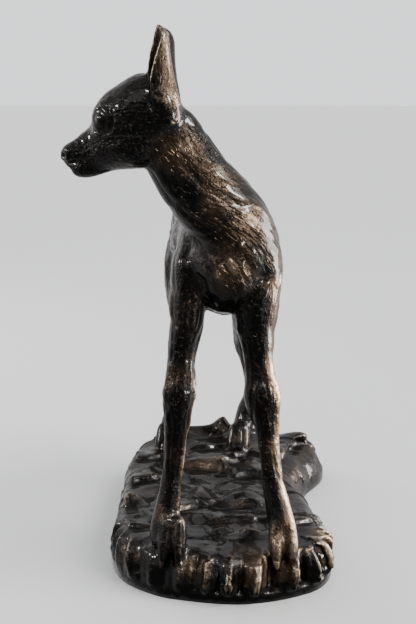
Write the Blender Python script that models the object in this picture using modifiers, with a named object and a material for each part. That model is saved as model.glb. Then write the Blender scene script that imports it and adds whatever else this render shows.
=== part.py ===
"""A fawn standing on a piece of rough ground, made as one bronze casting.

Units are metres, +Z is up. The fawn faces -Y and has turned its head to its own right, towards -X.
The origin is on the flat underside of the ground, at the middle of the ground's length and width.
"""

import math

import bmesh
import bpy
import numpy as np

# Driving dimensions.
FAWN_HEIGHT = 0.572  # from the top of the ground to the tips of the ears
GROUND_LENGTH = 0.442  # along Y
GROUND_WIDTH = 0.286  # along X
GROUND_HEIGHT = 0.050  # from the underside to the mean level of the top
FOOT_BAND = 0.010  # smooth band round the foot of the ground, below the folds
EAR_WALL = 0.0046  # thickness of the cupped ears
EYE_RADIUS = 0.0098
NOSE_TURN = -98.0  # degrees that the head is turned from the line of the body, about Z

# How finely the casting's surface is made.
VOXEL = 0.0025
RELAX_STEPS = 10
FINAL_STEPS = 1
SOFT_JOINS = 0.5  # how far a point of the body moves towards its neighbours in one step
CRISP_JOINS = 0.12  # the same for the ground, with its folds and rocks
JOIN_HEIGHTS = (1.0, 1.6)  # where the crisp ones give way to the soft, in heights of the ground
TRIANGLES = 9600
RING_POINTS = 22
EAR_POINTS = 19
BALL_RINGS = 7
BALL_TILT = 85  # degrees from a ball's middle to its last ring

# The fawn's stations are in parts of its height, which reaches from the ground to the ear tips.
HEIGHT_PARTS = 572
UNIT = FAWN_HEIGHT / HEIGHT_PARTS
BELOW_FOOT = 0.008  # the ground's form runs on this far down before it is cut off flat

# All unevenness is drawn from one block of random values.
LATTICE = 24  # values to each side of the block
SEED = 7

# Each station is x, y, z above the ground, half the width, half the depth, and the turn of the
# width's direction about Z, in degrees.
TRUNK = (
    (4, -178, 300, 18, 26, 0),
    (4, -166, 306, 36, 45, 0),
    (3, -138, 316, 49, 60, 0),
    (0, -95, 322, 54, 66, 0),
    (-3, -40, 321, 58, 63, 0),
    (-7, 20, 324, 61, 58, 0),
    (-11, 75, 331, 57, 52, 0),
    (-14, 125, 340, 53, 50, 0),
    (-15, 165, 336, 44, 46, 0),
    (-15, 190, 325, 24, 30, 0),
)
NECK = (
    (8, -108, 290, 44, 50, 0),
    (10, -126, 322, 50, 54, 0),
    (8, -140, 346, 49, 52, -14),
    (-1, -150, 370, 44, 46, -35),
    (-17, -159, 393, 38, 44, -55),
    (-35.5, -167, 417, 31, 40, -78),
    (-49.5, -173, 440, 28, 37.5, -90),
    (-61, -177, 460, 26, 36, -98),
    (-74, -179, 478, 20, 30, -98),
)
LEFT_FORELEG = (
    (20, -110, 388, 12, 20, 0),
    (30, -116, 350, 24, 36, 0),
    (36, -126, 310, 26, 42, 0),
    (35, -137, 275, 25, 35, 0),
    (33, -142, 250, 23, 27, 0),
    (35, -147, 229, 19, 21, 0),
    (36, -150, 212, 17, 18, 0),
    (39, -155, 190, 18, 18, 0),
    (41, -159, 175, 21, 20, 0),
    (43, -159, 156, 19, 18, 0),
    (46, -158, 137, 16, 16, 0),
    (48, -158, 115, 13.6, 14, 0),
    (51, -160, 96, 13, 13, 0),
    (54, -163, 74, 13, 13.5, 0),
    (57.5, -168, 56, 14, 15, 0),
    (61, -173, 38, 15, 17, 0),
    (65, -177, 22, 15, 17, 0),
    (68, -180, 6, 14, 16, 0),
)
RIGHT_FORELEG = (
    (-16, -106, 388, 12, 20, 0),
    (-26, -112, 350, 24, 36, 0),
    (-34, -122, 310, 26, 40, 0),
    (-42.5, -134, 275, 21.5, 34, 0),
    (-44, -142, 253, 19, 26, 0),
    (-48, -147, 229, 17, 20, 0),
    (-50, -150, 212, 16, 18, 0),
    (-51, -155, 190, 18, 19, 0),
    (-52.5, -159, 175, 19.5, 20, 0),
    (-54, -159, 156, 17, 18, 0),
    (-55, -157, 136, 15.6, 16, 0),
    (-58, -157, 115, 14, 14, 0),
    (-59, -158, 95, 13, 13, 0),
    (-61.5, -160, 74, 12.5, 13, 0),
    (-64, -162, 54, 14, 15, 0),
    (-67, -165, 37, 15.5, 17, 0),
    (-68, -170, 20, 18.5, 18, 0),
    (-67, -175, 5, 18, 17, 0),
)
LEFT_HIND_LEG = (
    (6, 152, 368, 18, 28, 0),
    (12, 142, 342, 28, 44, 0),
    (20, 130, 305, 29, 50, 0),
    (27, 119, 270, 25, 43, 0),
    (29, 122, 240, 20, 36, 0),
    (29, 137, 206, 17, 27, 0),
    (31, 157, 172, 16, 20, 0),
    (32, 169, 149, 15, 18, 0),
    (38, 173, 128, 12, 15, 0),
    (42, 171, 98, 11, 12.5, 0),
    (42, 171, 76, 11.5, 12.5, 0),
    (37, 170, 56, 14, 15, 0),
    (33, 165, 38, 15, 16.5, 0),
    (28, 158, 21, 14, 16, 0),
    (24, 152, 8, 12, 14, 0),
)
RIGHT_HIND_LEG = (
    (-34, 152, 368, 18, 28, 0),
    (-41, 141, 342, 27, 44, 0),
    (-46, 128, 305, 26, 50, 0),
    (-55, 116, 270, 24, 43, 0),
    (-57, 119, 240, 21, 36, 0),
    (-56, 135, 206, 17, 27, 0),
    (-60, 156, 172, 14, 20, 0),
    (-62, 171, 147, 13.5, 18, 0),
    (-64, 172, 122, 12.5, 15, 0),
    (-67, 170, 95, 11, 12.5, 0),
    (-70, 168, 70, 11, 12.5, 0),
    (-72, 167, 50, 12, 14, 0),
    (-74, 163, 34, 14, 16, 0),
    (-76, 156, 19, 13, 15, 0),
    (-78, 150, 6, 12, 14, 0),
)
TAIL = (
    (-15, 186, 352, 9, 9, 0),
    (-15, 202, 345, 12, 10, 0),
    (-15, 211, 322, 13, 9, 0),
    (-15, 212, 298, 10, 7, 0),
    (-15, 210, 282, 4, 3, 0),
)

# Stations of the head are forward, up from the skull's middle, half the width, half the depth.
SKULL_PLACE = (-100, -178, 475)
CRANIUM = (
    (-53, 5, 9, 12),
    (-46, 6, 20, 25),
    (-32, 8, 29, 37),
    (-14, 9, 33, 42),
    (0, 8, 33.5, 38.5),
    (11, 6, 31, 34),
    (21, 3, 28, 31),
    (29, 0, 25, 27.5),
    (35, -3, 20.5, 23.5),
    (39, -5, 15, 16),
    (41.5, -7, 8, 8),
)
MUZZLE = (
    (-36, -10, 18, 22),
    (-14, -16, 25, 30),
    (8, -19, 26, 30),
    (25, -22, 22.5, 28),
    (36, -24, 19, 26.5),
    (46, -28, 15.5, 22.5),
    (54, -31, 14, 19.5),
    (62, -33.5, 13, 15.5),
    (69, -34.5, 12.5, 12),
    (74, -35, 9.5, 8),
    (76.5, -35.5, 4, 3.5),
)
CHIN = (
    (18, -43, 9, 7),
    (34, -46, 11, 9),
    (44, -48.5, 11, 9.5),
    (54, -49.5, 10.5, 9),
    (61, -50, 8, 6.5),
    (65, -50, 4, 3),
)
EYE = (24, 3.5, 22.5)  # forward, up, sideways

# Rows of a cupped ear: forward, up and sideways of the cup's middle, half its depth along the
# opening, half its width, and how far the opening is turned outwards, in degrees.
EAR = (
    (-32, -12, 10, 14, 8, 10),
    (-34, 8, 17, 21, 13, 12),
    (-31, 28, 22, 21, 15.5, 14),
    (-30, 45, 24, 18.5, 15, 17),
    (-31, 58, 26, 15.5, 14, 20),
    (-33, 70, 28, 12, 12.5, 25),
    (-35.5, 81, 30, 8.5, 10.5, 30),
    (-36.5, 90, 31, 5, 7.5, 34),
    (-35.5, 96, 31, 2, 3, 36),
)
EAR_WRAP = 112.0  # half the arc of the cup, in degrees
EAR_SLANT = 3.5  # how much higher the inner rim stands at the tip
FAR_EAR_FORWARD = 5.0  # the right ear is pricked this much further forward
EAR_ROOT = (-40, 6, 14)  # forward, up, sideways
EAR_ROOT_RADIUS = 17

# Hooves: x, y of the middle between the two claws, and the way they point, in degrees about Z.
HOOVES = (
    (64, -186, 8),
    (-60, -184, -8),
    (24, 146, -14),
    (-79, 146, -12),
)
# A claw's stations: forward, z, half the width, half the length.
CLAW = (
    (-5, 38, 6, 8),
    (-3, 28, 8.6, 11),
    (0, 17, 9.2, 13),
    (5, 7, 8.6, 13),
    (10, -3, 6.6, 9.5),
    (14, -10, 4.2, 6),
    (16, -16, 1.8, 2.8),
)
CLAW_SPREAD = 7.2  # half the distance between the two claws' middles
CLAW_SPLAY = 7.0  # degrees that each claw turns outwards

# Swellings and hollows pressed into the body: x, y, z above the ground, radius, and how far the
# surface is pushed out, all in the fawn's units.
BODY_TOUCHES = (
    (10, -176, 296, 20, 3),
    (50, -152, 320, 22, 5),
    (-46, -146, 322, 20, 5),
    (22, -165, 378, 24, 4),
    (-36, -152, 352, 14, -5),
    (34, -166, 312, 12, -4),
    (-28, -164, 308, 12, -4),
    (50, -92, 358, 30, 4),
    (-52, -86, 358, 30, 4),
    (50, -98, 286, 14, 4),
    (-48, -94, 286, 14, 4),
    (40, 62, 322, 26, -6),
    (-64, 62, 322, 26, -6),
    (26, 128, 384, 20, 4),
    (-48, 128, 384, 20, 4),
    (44, 118, 300, 28, 4),
    (-76, 116, 300, 28, 2),
    (2, -90, 390, 28, 7),
    (-15, 108, 386, 26, 4),
    (52, -156, 42, 6, 4),
    (68, -154, 42, 6, 4),
    (-76, -148, 40, 6, 4),
    (-58, -148, 40, 6, 4),
    (-80, 184, 40, 6, 4),
    (-66, 184, 40, 6, 4),
    (28, 184, 42, 6, 4),
    (42, 186, 42, 6, 4),
)
# Furrows: the two ends, the width and the depth, in the same units.
BODY_FURROWS = (
    ((54, -58, 372), (52, -66, 290), 11, 4),
    ((-60, -54, 372), (-56, -62, 290), 11, 4),
    ((27, -158, 158), (42, -160, 60), 3.5, 2.5),
    ((62, -158, 158), (70, -162, 60), 3.5, 2.5),
    ((-37, -158, 158), (-50, -156, 60), 3.5, 2.5),
    ((-71, -158, 158), (-78, -156, 60), 3.5, 2.5),
    ((14, 166, 205), (26, 182, 120), 4, 3),
    ((46, 166, 205), (50, 182, 120), 4, 3),
    ((-46, 166, 205), (-52, 182, 120), 4, 3),
    ((-72, 166, 205), (-75, 182, 120), 4, 3),
    ((50, 84, 345), (46, 90, 262), 8, 3),
    ((-78, 84, 345), (-76, 90, 262), 8, 3),
)
# The same for each side of the head: forward, up and sideways, then radius and push.
HEAD_TOUCHES = (
    (37, -3, 14, 7, -2.0),
    (26, 15, 22, 8, 2.0),
    (4, -22, 27, 16, 2.5),
    (46, -22, 16, 9, -1.8),
    (72, -34, 10, 4, -4.5),
    (68, -27, 9, 7, 1.8),
    (-10, -38, 20, 14, 2.0),
)
HEAD_FURROWS = (
    ((76, -43, 3), (58, -42, 13), 2.8, 3.6),
    ((58, -42, 13), (36, -38, 19), 2.8, 2.8),
)
EYE_RIM = 11.8  # how far the raised rim round the eye is from the eye's middle
EYE_RIM_WIDTH = 2.2
EYE_RIM_PUSH = 1.6
EYE_HOLLOW = 16.5  # the same for the hollow round the rim
EYE_HOLLOW_PUSH = -1.0

# Locks of hair lie along each part of the body. They are furrows and swellings drawn out lengthwise.
LOCK_LENGTH = 42
LOCK_WIDTH = 10
LOCK_SWELL = 2.4  # how far the locks stand out
LOCK_FURROW = 2.0  # how deep the lines between them are cut
TRUNK_LOCKS = 0.9  # how strong the locks are on each part
NECK_LOCKS = 1.0
LEG_LOCKS = 0.6
HEAD_LOCKS = 0.1
FURROW_WIDTH = 0.22  # of the lines between the locks, in shares of a lock
HAIR_REACH = 0.22  # how far off a part's surface its locks still count, in shares of its width
HAIR_HEIGHTS = (40, 100)  # where the locks start and where they reach their full depth
BLEND_REACH = 30  # how far off the stations are that share in a point's place along a part

# The ground's outline in plan, in shares of half its width and half its length, and for each point
# how far the top edge stands in from it and how deep the folds are, in shares of the ground's height.
OUTLINE = (
    (0.05, -0.985, 0.42, 0.16),
    (0.30, -0.965, 0.42, 0.20),
    (0.55, -0.905, 0.36, 0.20),
    (0.76, -0.81, 0.34, 0.16),
    (0.875, -0.64, 0.36, 0.09),
    (0.87, -0.38, 0.45, 0.04),
    (0.80, -0.10, 0.50, 0.02),
    (0.71, 0.20, 0.50, 0.02),
    (0.82, 0.44, 0.70, 0.01),
    (1.00, 0.66, 0.80, 0.01),
    (1.035, 0.82, 0.50, 0.01),
    (0.89, 0.94, 0.30, 0.02),
    (0.45, 0.99, 0.22, 0.03),
    (0.00, 1.01, 0.22, 0.03),
    (-0.45, 0.99, 0.22, 0.03),
    (-0.80, 0.88, 0.28, 0.02),
    (-0.93, 0.62, 0.30, 0.01),
    (-0.955, 0.20, 0.30, 0.01),
    (-0.965, -0.25, 0.30, 0.02),
    (-0.955, -0.50, 0.32, 0.04),
    (-0.83, -0.73, 0.36, 0.06),
    (-0.55, -0.89, 0.38, 0.07),
    (-0.25, -0.955, 0.40, 0.10),
)
FOLDS = 44  # folds round the whole ground
FOLD_WANDER = ((3, 0.35), (7, 0.2), (13, 0.06))  # waves round it, and how many folds they bunch up
FOLD_LEANS = ((4, 0.4), (7, 0.15))  # the same for how many folds they lean over on their way up
FOLD_PATCHES = 0.9  # how much shallower or deeper the folds get from patch to patch
PATCH_ROWS = 1.6  # patches from the foot to the top
FOLD_SHARP = 1.3  # power that narrows a fold's ridge
FOLD_RUN = (0.2, 0.85)  # shares of a half wave at which the folds start and end on their way up
RIPPLES = 3  # ripples to each fold
RIPPLE_SHARE = 0.34  # how deep they are, in shares of the fold
WALL_BULGE = 1.8  # power that keeps the wall upright near its foot
WALL_ROWS = 8
TOP_ROWS = 40
OUTLINE_STEPS = 16  # points between two of the outline's points

# Rocks on top of the ground: x and y in shares of half its width and half its length, then half
# length, half width and height in shares of its height, and a turn in degrees.
ROCKS = (
    (-0.83, -0.24, 0.34, 0.26, 0.26, 20),
    (-0.03, -0.61, 0.20, 0.16, 0.14, 30),
    (0.22, -0.65, 0.24, 0.16, 0.16, -20),
    (0.16, -0.18, 0.40, 0.24, 0.14, 20),
    (-0.45, -0.84, 0.60, 0.40, 0.10, 0),
    (0.66, 0.78, 1.00, 0.90, 0.17, 10),
    (0.90, 0.50, 0.40, 0.40, 0.10, 0),
    (-0.22, 0.92, 0.80, 0.34, 0.34, 6),
    (0.02, 0.92, 0.22, 0.26, 0.44, 70),
    (0.22, 0.86, 0.45, 0.32, 0.36, 20),
    (-0.62, 0.88, 0.80, 0.34, 0.26, -16),
)
# Ledges that face the viewer: the two ends in shares of half the width and half the length, the
# rise, and how far behind its face a ledge slopes away, in shares of the ground's height.
LEDGES = (
    ((0.50, 0.45), (0.97, 0.76), 0.13, 1.4),
    ((-0.40, 0.36), (0.04, 0.27), 0.19, 0.5),
    ((0.03, 0.28), (0.22, 0.62), 0.18, 0.5),
    ((0.08, 0.18), (0.42, 0.22), 0.14, 0.8),
    ((-0.48, -0.36), (-0.06, -0.21), 0.16, 1.0),
    ((-0.05, -0.24), (0.36, -0.30), 0.12, 0.7),
    ((-0.20, -0.52), (0.42, -0.46), 0.10, 0.6),
    ((-0.90, -0.58), (-0.56, -0.56), 0.12, 0.6),
    ((-0.92, 0.04), (-0.58, 0.12), 0.14, 0.9),
    ((-0.88, 0.42), (-0.52, 0.50), 0.14, 0.9),
    ((0.42, -0.58), (0.82, -0.46), 0.12, 0.6),
    ((0.42, -0.02), (0.70, 0.04), 0.12, 0.6),
    ((-0.30, 0.66), (0.14, 0.72), 0.14, 0.6),
)
LEDGE_FACE = 0.06  # how far a ledge's steep face stands out in plan
LEDGE_WANDER = 0.14  # how far its edge wanders from the line between its ends
LEDGE_PATCH = 0.35  # length over which it does so
LEDGE_END = 0.2  # share of its length over which each end dies away

# Broken rock all over the ground: facets, and lumps and hollows, in shares of the ground's height.
FACET_SIZES = (0.95, 0.62, 0.55)
FACET_RELIEF = 0.04
LUMP_SIZES = ((0.60, 0.055), (0.28, 0.030))  # each with its relief
ROCK_END = 1.5  # height above which there are none
ROCK_FADE = 0.2  # height below it over which they die away
FOOT_CLEAR = 16  # distance from a hoof's middle where there are none, in the fawn's units
FOOT_FADE = 26  # distance beyond it over which they come up


def smooth_rows(rows, steps, closed=False):
    """Rows on a Catmull-Rom curve through the given rows, `steps` of them to each stretch."""
    rows = np.array(rows, float)
    if closed:
        padded = np.vstack([rows[-1:], rows, rows[:2]])
    else:
        padded = np.vstack([2 * rows[0] - rows[1], rows, 2 * rows[-1] - rows[-2]])
    out = []
    for before, start, end, after in zip(padded, padded[1:], padded[2:], padded[3:]):
        for step in range(steps):
            t = step / steps
            out.append(
                0.5
                * (
                    2 * start
                    + (end - before) * t
                    + (2 * before - 5 * start + 4 * end - after) * t**2
                    + (3 * start - before - 3 * end + after) * t**3
                )
            )
    if not closed:
        out.append(rows[-1])
    return np.array(out)


def wandering(points):
    """A smooth value between about -1 and 1 that wanders from place to place, one unit apart."""
    block = np.random.default_rng(SEED).uniform(-1, 1, (LATTICE, LATTICE, LATTICE))
    cell = np.floor(points).astype(int)
    inside = points - cell
    x, y, z = (inside * inside * (3 - 2 * inside)).T
    total = np.zeros(len(points))
    for i in (0, 1):
        for j in (0, 1):
            for k in (0, 1):
                corner = (cell + (i, j, k)) % LATTICE
                share = (x if i else 1 - x) * (y if j else 1 - y) * (z if k else 1 - z)
                total += share * block[corner[:, 0], corner[:, 1], corner[:, 2]]
    return total


class Form:
    """Closed lofts that overlap and are later fused into one body."""

    def __init__(self):
        self.points = []
        self.faces = []

    def add_rings(self, rings):
        """A closed skin over rings of equal length, with a point in the middle of each end."""
        first = len(self.points)
        count = len(rings[0])
        for ring in rings:
            self.points.extend(ring)
        for row in range(len(rings) - 1):
            for i in range(count):
                a = first + row * count + i
                b = first + row * count + (i + 1) % count
                self.faces.append((a, b, b + count, a + count))
        for row, turned in ((0, True), (len(rings) - 1, False)):
            middle = len(self.points)
            self.points.append(np.mean(rings[row], axis=0))
            start = first + row * count
            for i in range(count):
                a, b = start + i, start + (i + 1) % count
                self.faces.append((middle, b, a) if turned else (middle, a, b))

    def mesh(self, name):
        mesh = bpy.data.meshes.new(name)
        mesh.from_pydata([tuple(map(float, p)) for p in self.points], [], self.faces)
        mesh.update()
        return mesh


def limb_rings(stations, steps=4, way=None):
    """Elliptical rings in metres above the underside, square to `way` or to the line of stations."""
    rows = smooth_rows(stations, steps)
    centres = rows[:, :3] * UNIT + (0, 0, GROUND_HEIGHT)
    ways = np.gradient(centres, axis=0) if way is None else np.tile(way, (len(rows), 1))
    angles = np.linspace(0, 2 * math.pi, RING_POINTS, endpoint=False)
    rings = []
    for centre, way, (width, depth, turn) in zip(centres, ways, rows[:, 3:]):
        way = way / np.linalg.norm(way)
        side = np.array([math.cos(math.radians(turn)), math.sin(math.radians(turn)), 0.0])
        side -= way * (side @ way)
        side /= np.linalg.norm(side)
        over = np.cross(side, way)
        rings.append(
            [
                centre + UNIT * (side * width * math.cos(a) + over * depth * math.sin(a))
                for a in angles
            ]
        )
    return rings


def heading(turn):
    """The way that something faces after a turn from -Y, in degrees about Z."""
    return np.array([math.sin(math.radians(turn)), -math.cos(math.radians(turn)), 0.0])


def head_point(forward, up, sideways=0.0):
    """A station of the head as x, y, z in the fawn's units above the ground."""
    aside = heading(NOSE_TURN + 90)
    return SKULL_PLACE + heading(NOSE_TURN) * forward + aside * sideways + (0, 0, up)


def head_stations(rows):
    return [(*head_point(f, u), width, depth, NOSE_TURN) for f, u, width, depth in rows]


def ball_stations(centre, radius):
    """Stations of a small ball, along Z."""
    x, y, z = centre
    stations = []
    for rise in np.radians(np.linspace(-BALL_TILT, BALL_TILT, BALL_RINGS)):
        wide = radius * math.cos(rise)
        stations.append((x, y, z + radius * math.sin(rise), wide, wide, 0))
    return stations


def claw_stations(hoof, side):
    """One claw of a hoof, which points along -Y turned by the hoof's own turn and its splay."""
    x, y, turn = hoof
    turn = math.radians(turn)
    splay = turn + math.radians(CLAW_SPLAY) * side
    x += math.cos(turn) * CLAW_SPREAD * side
    y += math.sin(turn) * CLAW_SPREAD * side
    return [
        (x + math.sin(splay) * f, y - math.cos(splay) * f, z, width, length, math.degrees(splay))
        for f, z, width, length in CLAW
    ]


def ear_object(side):
    """One cupped ear as an open leaf with a wall of its own; side is 1 for the left ear."""
    rows = smooth_rows(EAR, 4)
    bends = np.linspace(-1, 1, EAR_POINTS)
    points = []
    for number, (forward, up, sideways, deep, wide, turn) in enumerate(rows):
        if side < 0:
            forward += FAR_EAR_FORWARD
        centre = head_point(forward, up, sideways * side)
        opening = heading(NOSE_TURN + turn * side)
        across = heading(NOSE_TURN + turn * side + 90 * side)
        slant = EAR_SLANT * (number / (len(rows) - 1)) ** 3
        for bend in bends:
            angle = math.radians(EAR_WRAP * bend)
            point = centre - opening * deep * math.cos(angle) + across * wide * math.sin(angle)
            point[2] -= slant * bend
            points.append(tuple(point * UNIT + (0, 0, GROUND_HEIGHT)))
    count = len(bends)
    faces = [
        (r * count + i, r * count + i + 1, (r + 1) * count + i + 1, (r + 1) * count + i)
        for r in range(len(rows) - 1)
        for i in range(count - 1)
    ]
    mesh = bpy.data.meshes.new("ear")
    mesh.from_pydata(points, [], faces)
    ear = bpy.data.objects.new("ear", mesh)
    bpy.context.scene.collection.objects.link(ear)
    wall = ear.modifiers.new("wall", "SOLIDIFY")
    wall.thickness = EAR_WALL
    wall.offset = 0
    return ear


def ground_top(plan):
    """Heights of the ground's top above its underside, at points of its plan."""
    half = np.array((GROUND_WIDTH, GROUND_LENGTH)) / 2
    spread = np.zeros((len(plan), 3))
    spread[:, :2] = plan / (LEDGE_PATCH * GROUND_HEIGHT)
    wander = LEDGE_WANDER * wandering(spread)
    height = np.ones(len(plan))
    for start, end, rise, back in LEDGES:
        start, end = half * start, half * end
        long = np.linalg.norm(end - start)
        way = (end - start) / long
        off = plan - start
        along = off @ way / long
        behind = off @ (-way[1], way[0]) / GROUND_HEIGHT + wander
        held = np.clip(np.minimum(along, 1 - along) / LEDGE_END + 0.5, 0, 1)
        face = np.clip(behind / LEDGE_FACE + 1, 0, 1)
        height += rise * held * face * np.exp(-((np.maximum(behind, 0) / back) ** 2))
    for rock_x, rock_y, long, wide, tall, turn in ROCKS:
        off = plan - half * (rock_x, rock_y)
        c, s = math.cos(math.radians(turn)), math.sin(math.radians(turn))
        along = off @ (c, s) / (long * GROUND_HEIGHT)
        across = off @ (-s, c) / (wide * GROUND_HEIGHT)
        height += tall * np.exp(-(along**4) - np.abs(across) ** 1.6)
    return GROUND_HEIGHT * height


def waved(turn, waves):
    """The sum of waves round the ground, each given as its number and its height."""
    return sum(height * np.sin(number * turn + number) for number, height in waves)


def ground_rings():
    """Rings of the ground from its foot up the folded side and in over the top."""
    rows = smooth_rows(OUTLINE, OUTLINE_STEPS, closed=True)
    plan = rows[:, :2] * (GROUND_WIDTH / 2, GROUND_LENGTH / 2)
    ways = np.roll(plan, -1, axis=0) - np.roll(plan, 1, axis=0)
    inward = np.stack([-ways[:, 1], ways[:, 0]], axis=1)
    inward /= np.linalg.norm(inward, axis=1)[:, None]
    steps = np.linalg.norm(np.roll(plan, -1, axis=0) - plan, axis=1)
    turn = 2 * math.pi * (np.cumsum(steps) - steps[0]) / np.sum(steps)
    phase = FOLDS * turn + 2 * math.pi * waved(turn, FOLD_WANDER)
    lean = 2 * math.pi * waved(turn, FOLD_LEANS)
    inset, fold = rows[:, 2] * GROUND_HEIGHT, rows[:, 3] * GROUND_HEIGHT
    patch = np.zeros((len(plan), 3))
    patch[:, 0] = turn * LATTICE / (2 * math.pi)
    rings = []
    for z in (-BELOW_FOOT, 0.0, FOOT_BAND):
        rings.append([(x, y, z) for x, y in plan])
    for row in range(1, WALL_ROWS + 1):
        up = row / WALL_ROWS
        leant = phase + lean * up
        ridge = 2 * (0.5 + 0.5 * np.cos(leant)) ** FOLD_SHARP - 1
        ridge += RIPPLE_SHARE * np.cos(RIPPLES * leant)
        patch[:, 1] = up * PATCH_ROWS
        deep = fold * (1 + FOLD_PATCHES * wandering(patch))
        out = deep * math.sin(math.pi * np.interp(up, (0, 1), FOLD_RUN)) * ridge
        moved = plan + inward * (inset * up**WALL_BULGE - out)[:, None]
        height = FOOT_BAND + (GROUND_HEIGHT - FOOT_BAND) * math.sin(up * math.pi / 2)
        rings.append([(x, y, height) for x, y in moved])
    edge = np.array(rings[-1])[:, :2]
    for row in range(1, TOP_ROWS):
        inner = edge * (1 - row / TOP_ROWS)
        rings.append(np.column_stack([inner, ground_top(inner)]))
    return rings


def fused(parts):
    """One mesh over all the parts, remade as an even skin that joins them."""
    bpy.ops.object.select_all(action="DESELECT")
    for part in parts:
        part.select_set(True)
    bpy.context.view_layer.objects.active = parts[0]
    bpy.ops.object.join()
    whole = parts[0]
    skin = whole.modifiers.new("skin", "REMESH")
    skin.mode = "VOXEL"
    skin.voxel_size = VOXEL
    depsgraph = bpy.context.evaluated_depsgraph_get()
    mesh = bpy.data.meshes.new_from_object(whole.evaluated_get(depsgraph))
    bpy.data.objects.remove(whole)
    return mesh


def relax(mesh, steps):
    """Softens the joins, as a modeller's thumb does, by moving each point towards its neighbours."""
    points = np.empty(len(mesh.vertices) * 3)
    mesh.vertices.foreach_get("co", points)
    points = points.reshape(-1, 3)
    edges = np.empty(len(mesh.edges) * 2, int)
    mesh.edges.foreach_get("vertices", edges)
    a, b = edges.reshape(-1, 2).T
    count = np.bincount(np.concatenate([a, b]), minlength=len(points))
    heights = points[:, 2] / GROUND_HEIGHT
    give = np.interp(heights, JOIN_HEIGHTS, (CRISP_JOINS, SOFT_JOINS))[:, None]
    for _ in range(steps):
        total = np.zeros_like(points)
        for axis in range(3):
            total[:, axis] = np.bincount(a, points[b, axis], len(points)) + np.bincount(
                b, points[a, axis], len(points)
            )
        points += give * (total / count[:, None] - points)
    mesh.vertices.foreach_set("co", points.ravel())
    mesh.update()


def off_line(points, start, end):
    """Distance of each point from the line between two points."""
    start, end = np.array(start, float), np.array(end, float)
    along = end - start
    share = np.clip((points - start) @ along / (along @ along), 0, 1)
    return np.linalg.norm(points - start - share[:, None] * along, axis=1)


def touched(points, where, radius, push):
    return push * np.exp(-np.sum((points - where) ** 2, axis=1) / radius**2)


def along_part(own, stations):
    """Each point's place in a part laid straight, and how far out it is, 1 at the part's surface."""
    rows = smooth_rows(stations, 4)
    centres = rows[:, :3]
    ways = np.gradient(centres, axis=0)
    steps = np.linalg.norm(np.diff(centres, axis=0), axis=1)
    length = np.concatenate([[0], np.cumsum(steps)])
    ways /= np.linalg.norm(ways, axis=1)[:, None]
    turns = np.radians(rows[:, 5])
    sides = np.stack([np.cos(turns), np.sin(turns), 0 * turns], axis=1)
    sides -= ways * np.sum(ways * sides, axis=1)[:, None]
    sides /= np.linalg.norm(sides, axis=1)[:, None]
    overs = np.cross(sides, ways)
    away = np.array([np.sum((own - centre) ** 2, axis=1) for centre in centres])
    nearest = away.min(axis=0)
    place = np.zeros((len(own), 3))
    size = np.zeros((len(own), 2))
    total = np.zeros(len(own))
    for row, centre in enumerate(centres):
        share = np.exp((nearest - away[row]) / BLEND_REACH**2)
        off = own - centre
        local = np.stack([off @ sides[row], off @ overs[row], length[row] + off @ ways[row]], axis=1)
        place += share[:, None] * local
        size += share[:, None] * rows[row, 3:5]
        total += share
    place /= total[:, None]
    size /= total[:, None]
    reach = np.sqrt(np.sum((place[:, :2] / size) ** 2, axis=1))
    beyond = np.maximum(0, np.maximum(-place[:, 2], place[:, 2] - length[-1]))
    return place, reach + beyond / size[:, 0]


def hair(own):
    """How far the locks push the surface out, over the whole body."""
    total = np.zeros(len(own))
    weight = np.zeros(len(own))
    for seed, (stations, amount) in enumerate(
        (
            (TRUNK, TRUNK_LOCKS),
            (NECK, NECK_LOCKS),
            (LEFT_FORELEG, LEG_LOCKS),
            (RIGHT_FORELEG, LEG_LOCKS),
            (LEFT_HIND_LEG, LEG_LOCKS),
            (RIGHT_HIND_LEG, LEG_LOCKS),
            (head_stations(CRANIUM), HEAD_LOCKS),
            (head_stations(MUZZLE), HEAD_LOCKS),
        )
    ):
        place, reach = along_part(own, stations)
        mine = np.exp(-(((reach - 1) / HAIR_REACH) ** 2))
        stretched = place / (LOCK_WIDTH, LOCK_WIDTH, LOCK_LENGTH) + 5 * seed
        swell = wandering(stretched)
        line = np.exp(-((wandering(stretched + LATTICE / 2) / FURROW_WIDTH) ** 2))
        total += mine * amount * (LOCK_SWELL * swell - LOCK_FURROW * line)
        weight += mine
    return total / np.maximum(weight, 1)


def facets(points):
    """How far flat facets of broken rock stand out, in shares of a facet's size."""
    block = np.random.default_rng(SEED).uniform(-0.5, 0.5, (LATTICE, LATTICE, LATTICE, 3))
    cell = np.floor(points).astype(int)
    nearest = np.full(len(points), np.inf)
    out = np.zeros(len(points))
    for i in (-1, 0, 1):
        for j in (-1, 0, 1):
            for k in (-1, 0, 1):
                corner = cell + (i, j, k)
                wrapped = corner % LATTICE
                slant = block[wrapped[:, 0], wrapped[:, 1], wrapped[:, 2]]
                off = points - (corner + 0.5 + slant)
                away = np.sum(off**2, axis=1)
                closer = away < nearest
                nearest[closer] = away[closer]
                out[closer] = (2 * np.sum(off * slant[:, ::-1], axis=1) + slant[:, 0])[closer]
    return out


def rock_relief(points, own):
    """How far the ground's facets and lumps stand out, clear of the legs."""
    share = np.clip((ROCK_END - points[:, 2] / GROUND_HEIGHT) / ROCK_FADE, 0, 1)
    share *= np.clip((points[:, 2] - FOOT_BAND) / FOOT_BAND, 0, 1)
    for x, y, turn in HOOVES:
        off = np.linalg.norm(own[:, :2] - (x, y), axis=1)
        share *= np.clip((off - FOOT_CLEAR) / FOOT_FADE, 0, 1)
    in_heights = points / GROUND_HEIGHT
    relief = FACET_RELIEF * facets(in_heights / FACET_SIZES)
    for size, rise in LUMP_SIZES:
        relief += rise * wandering(in_heights / size + 3)
    return share * relief * GROUND_HEIGHT / UNIT


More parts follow.
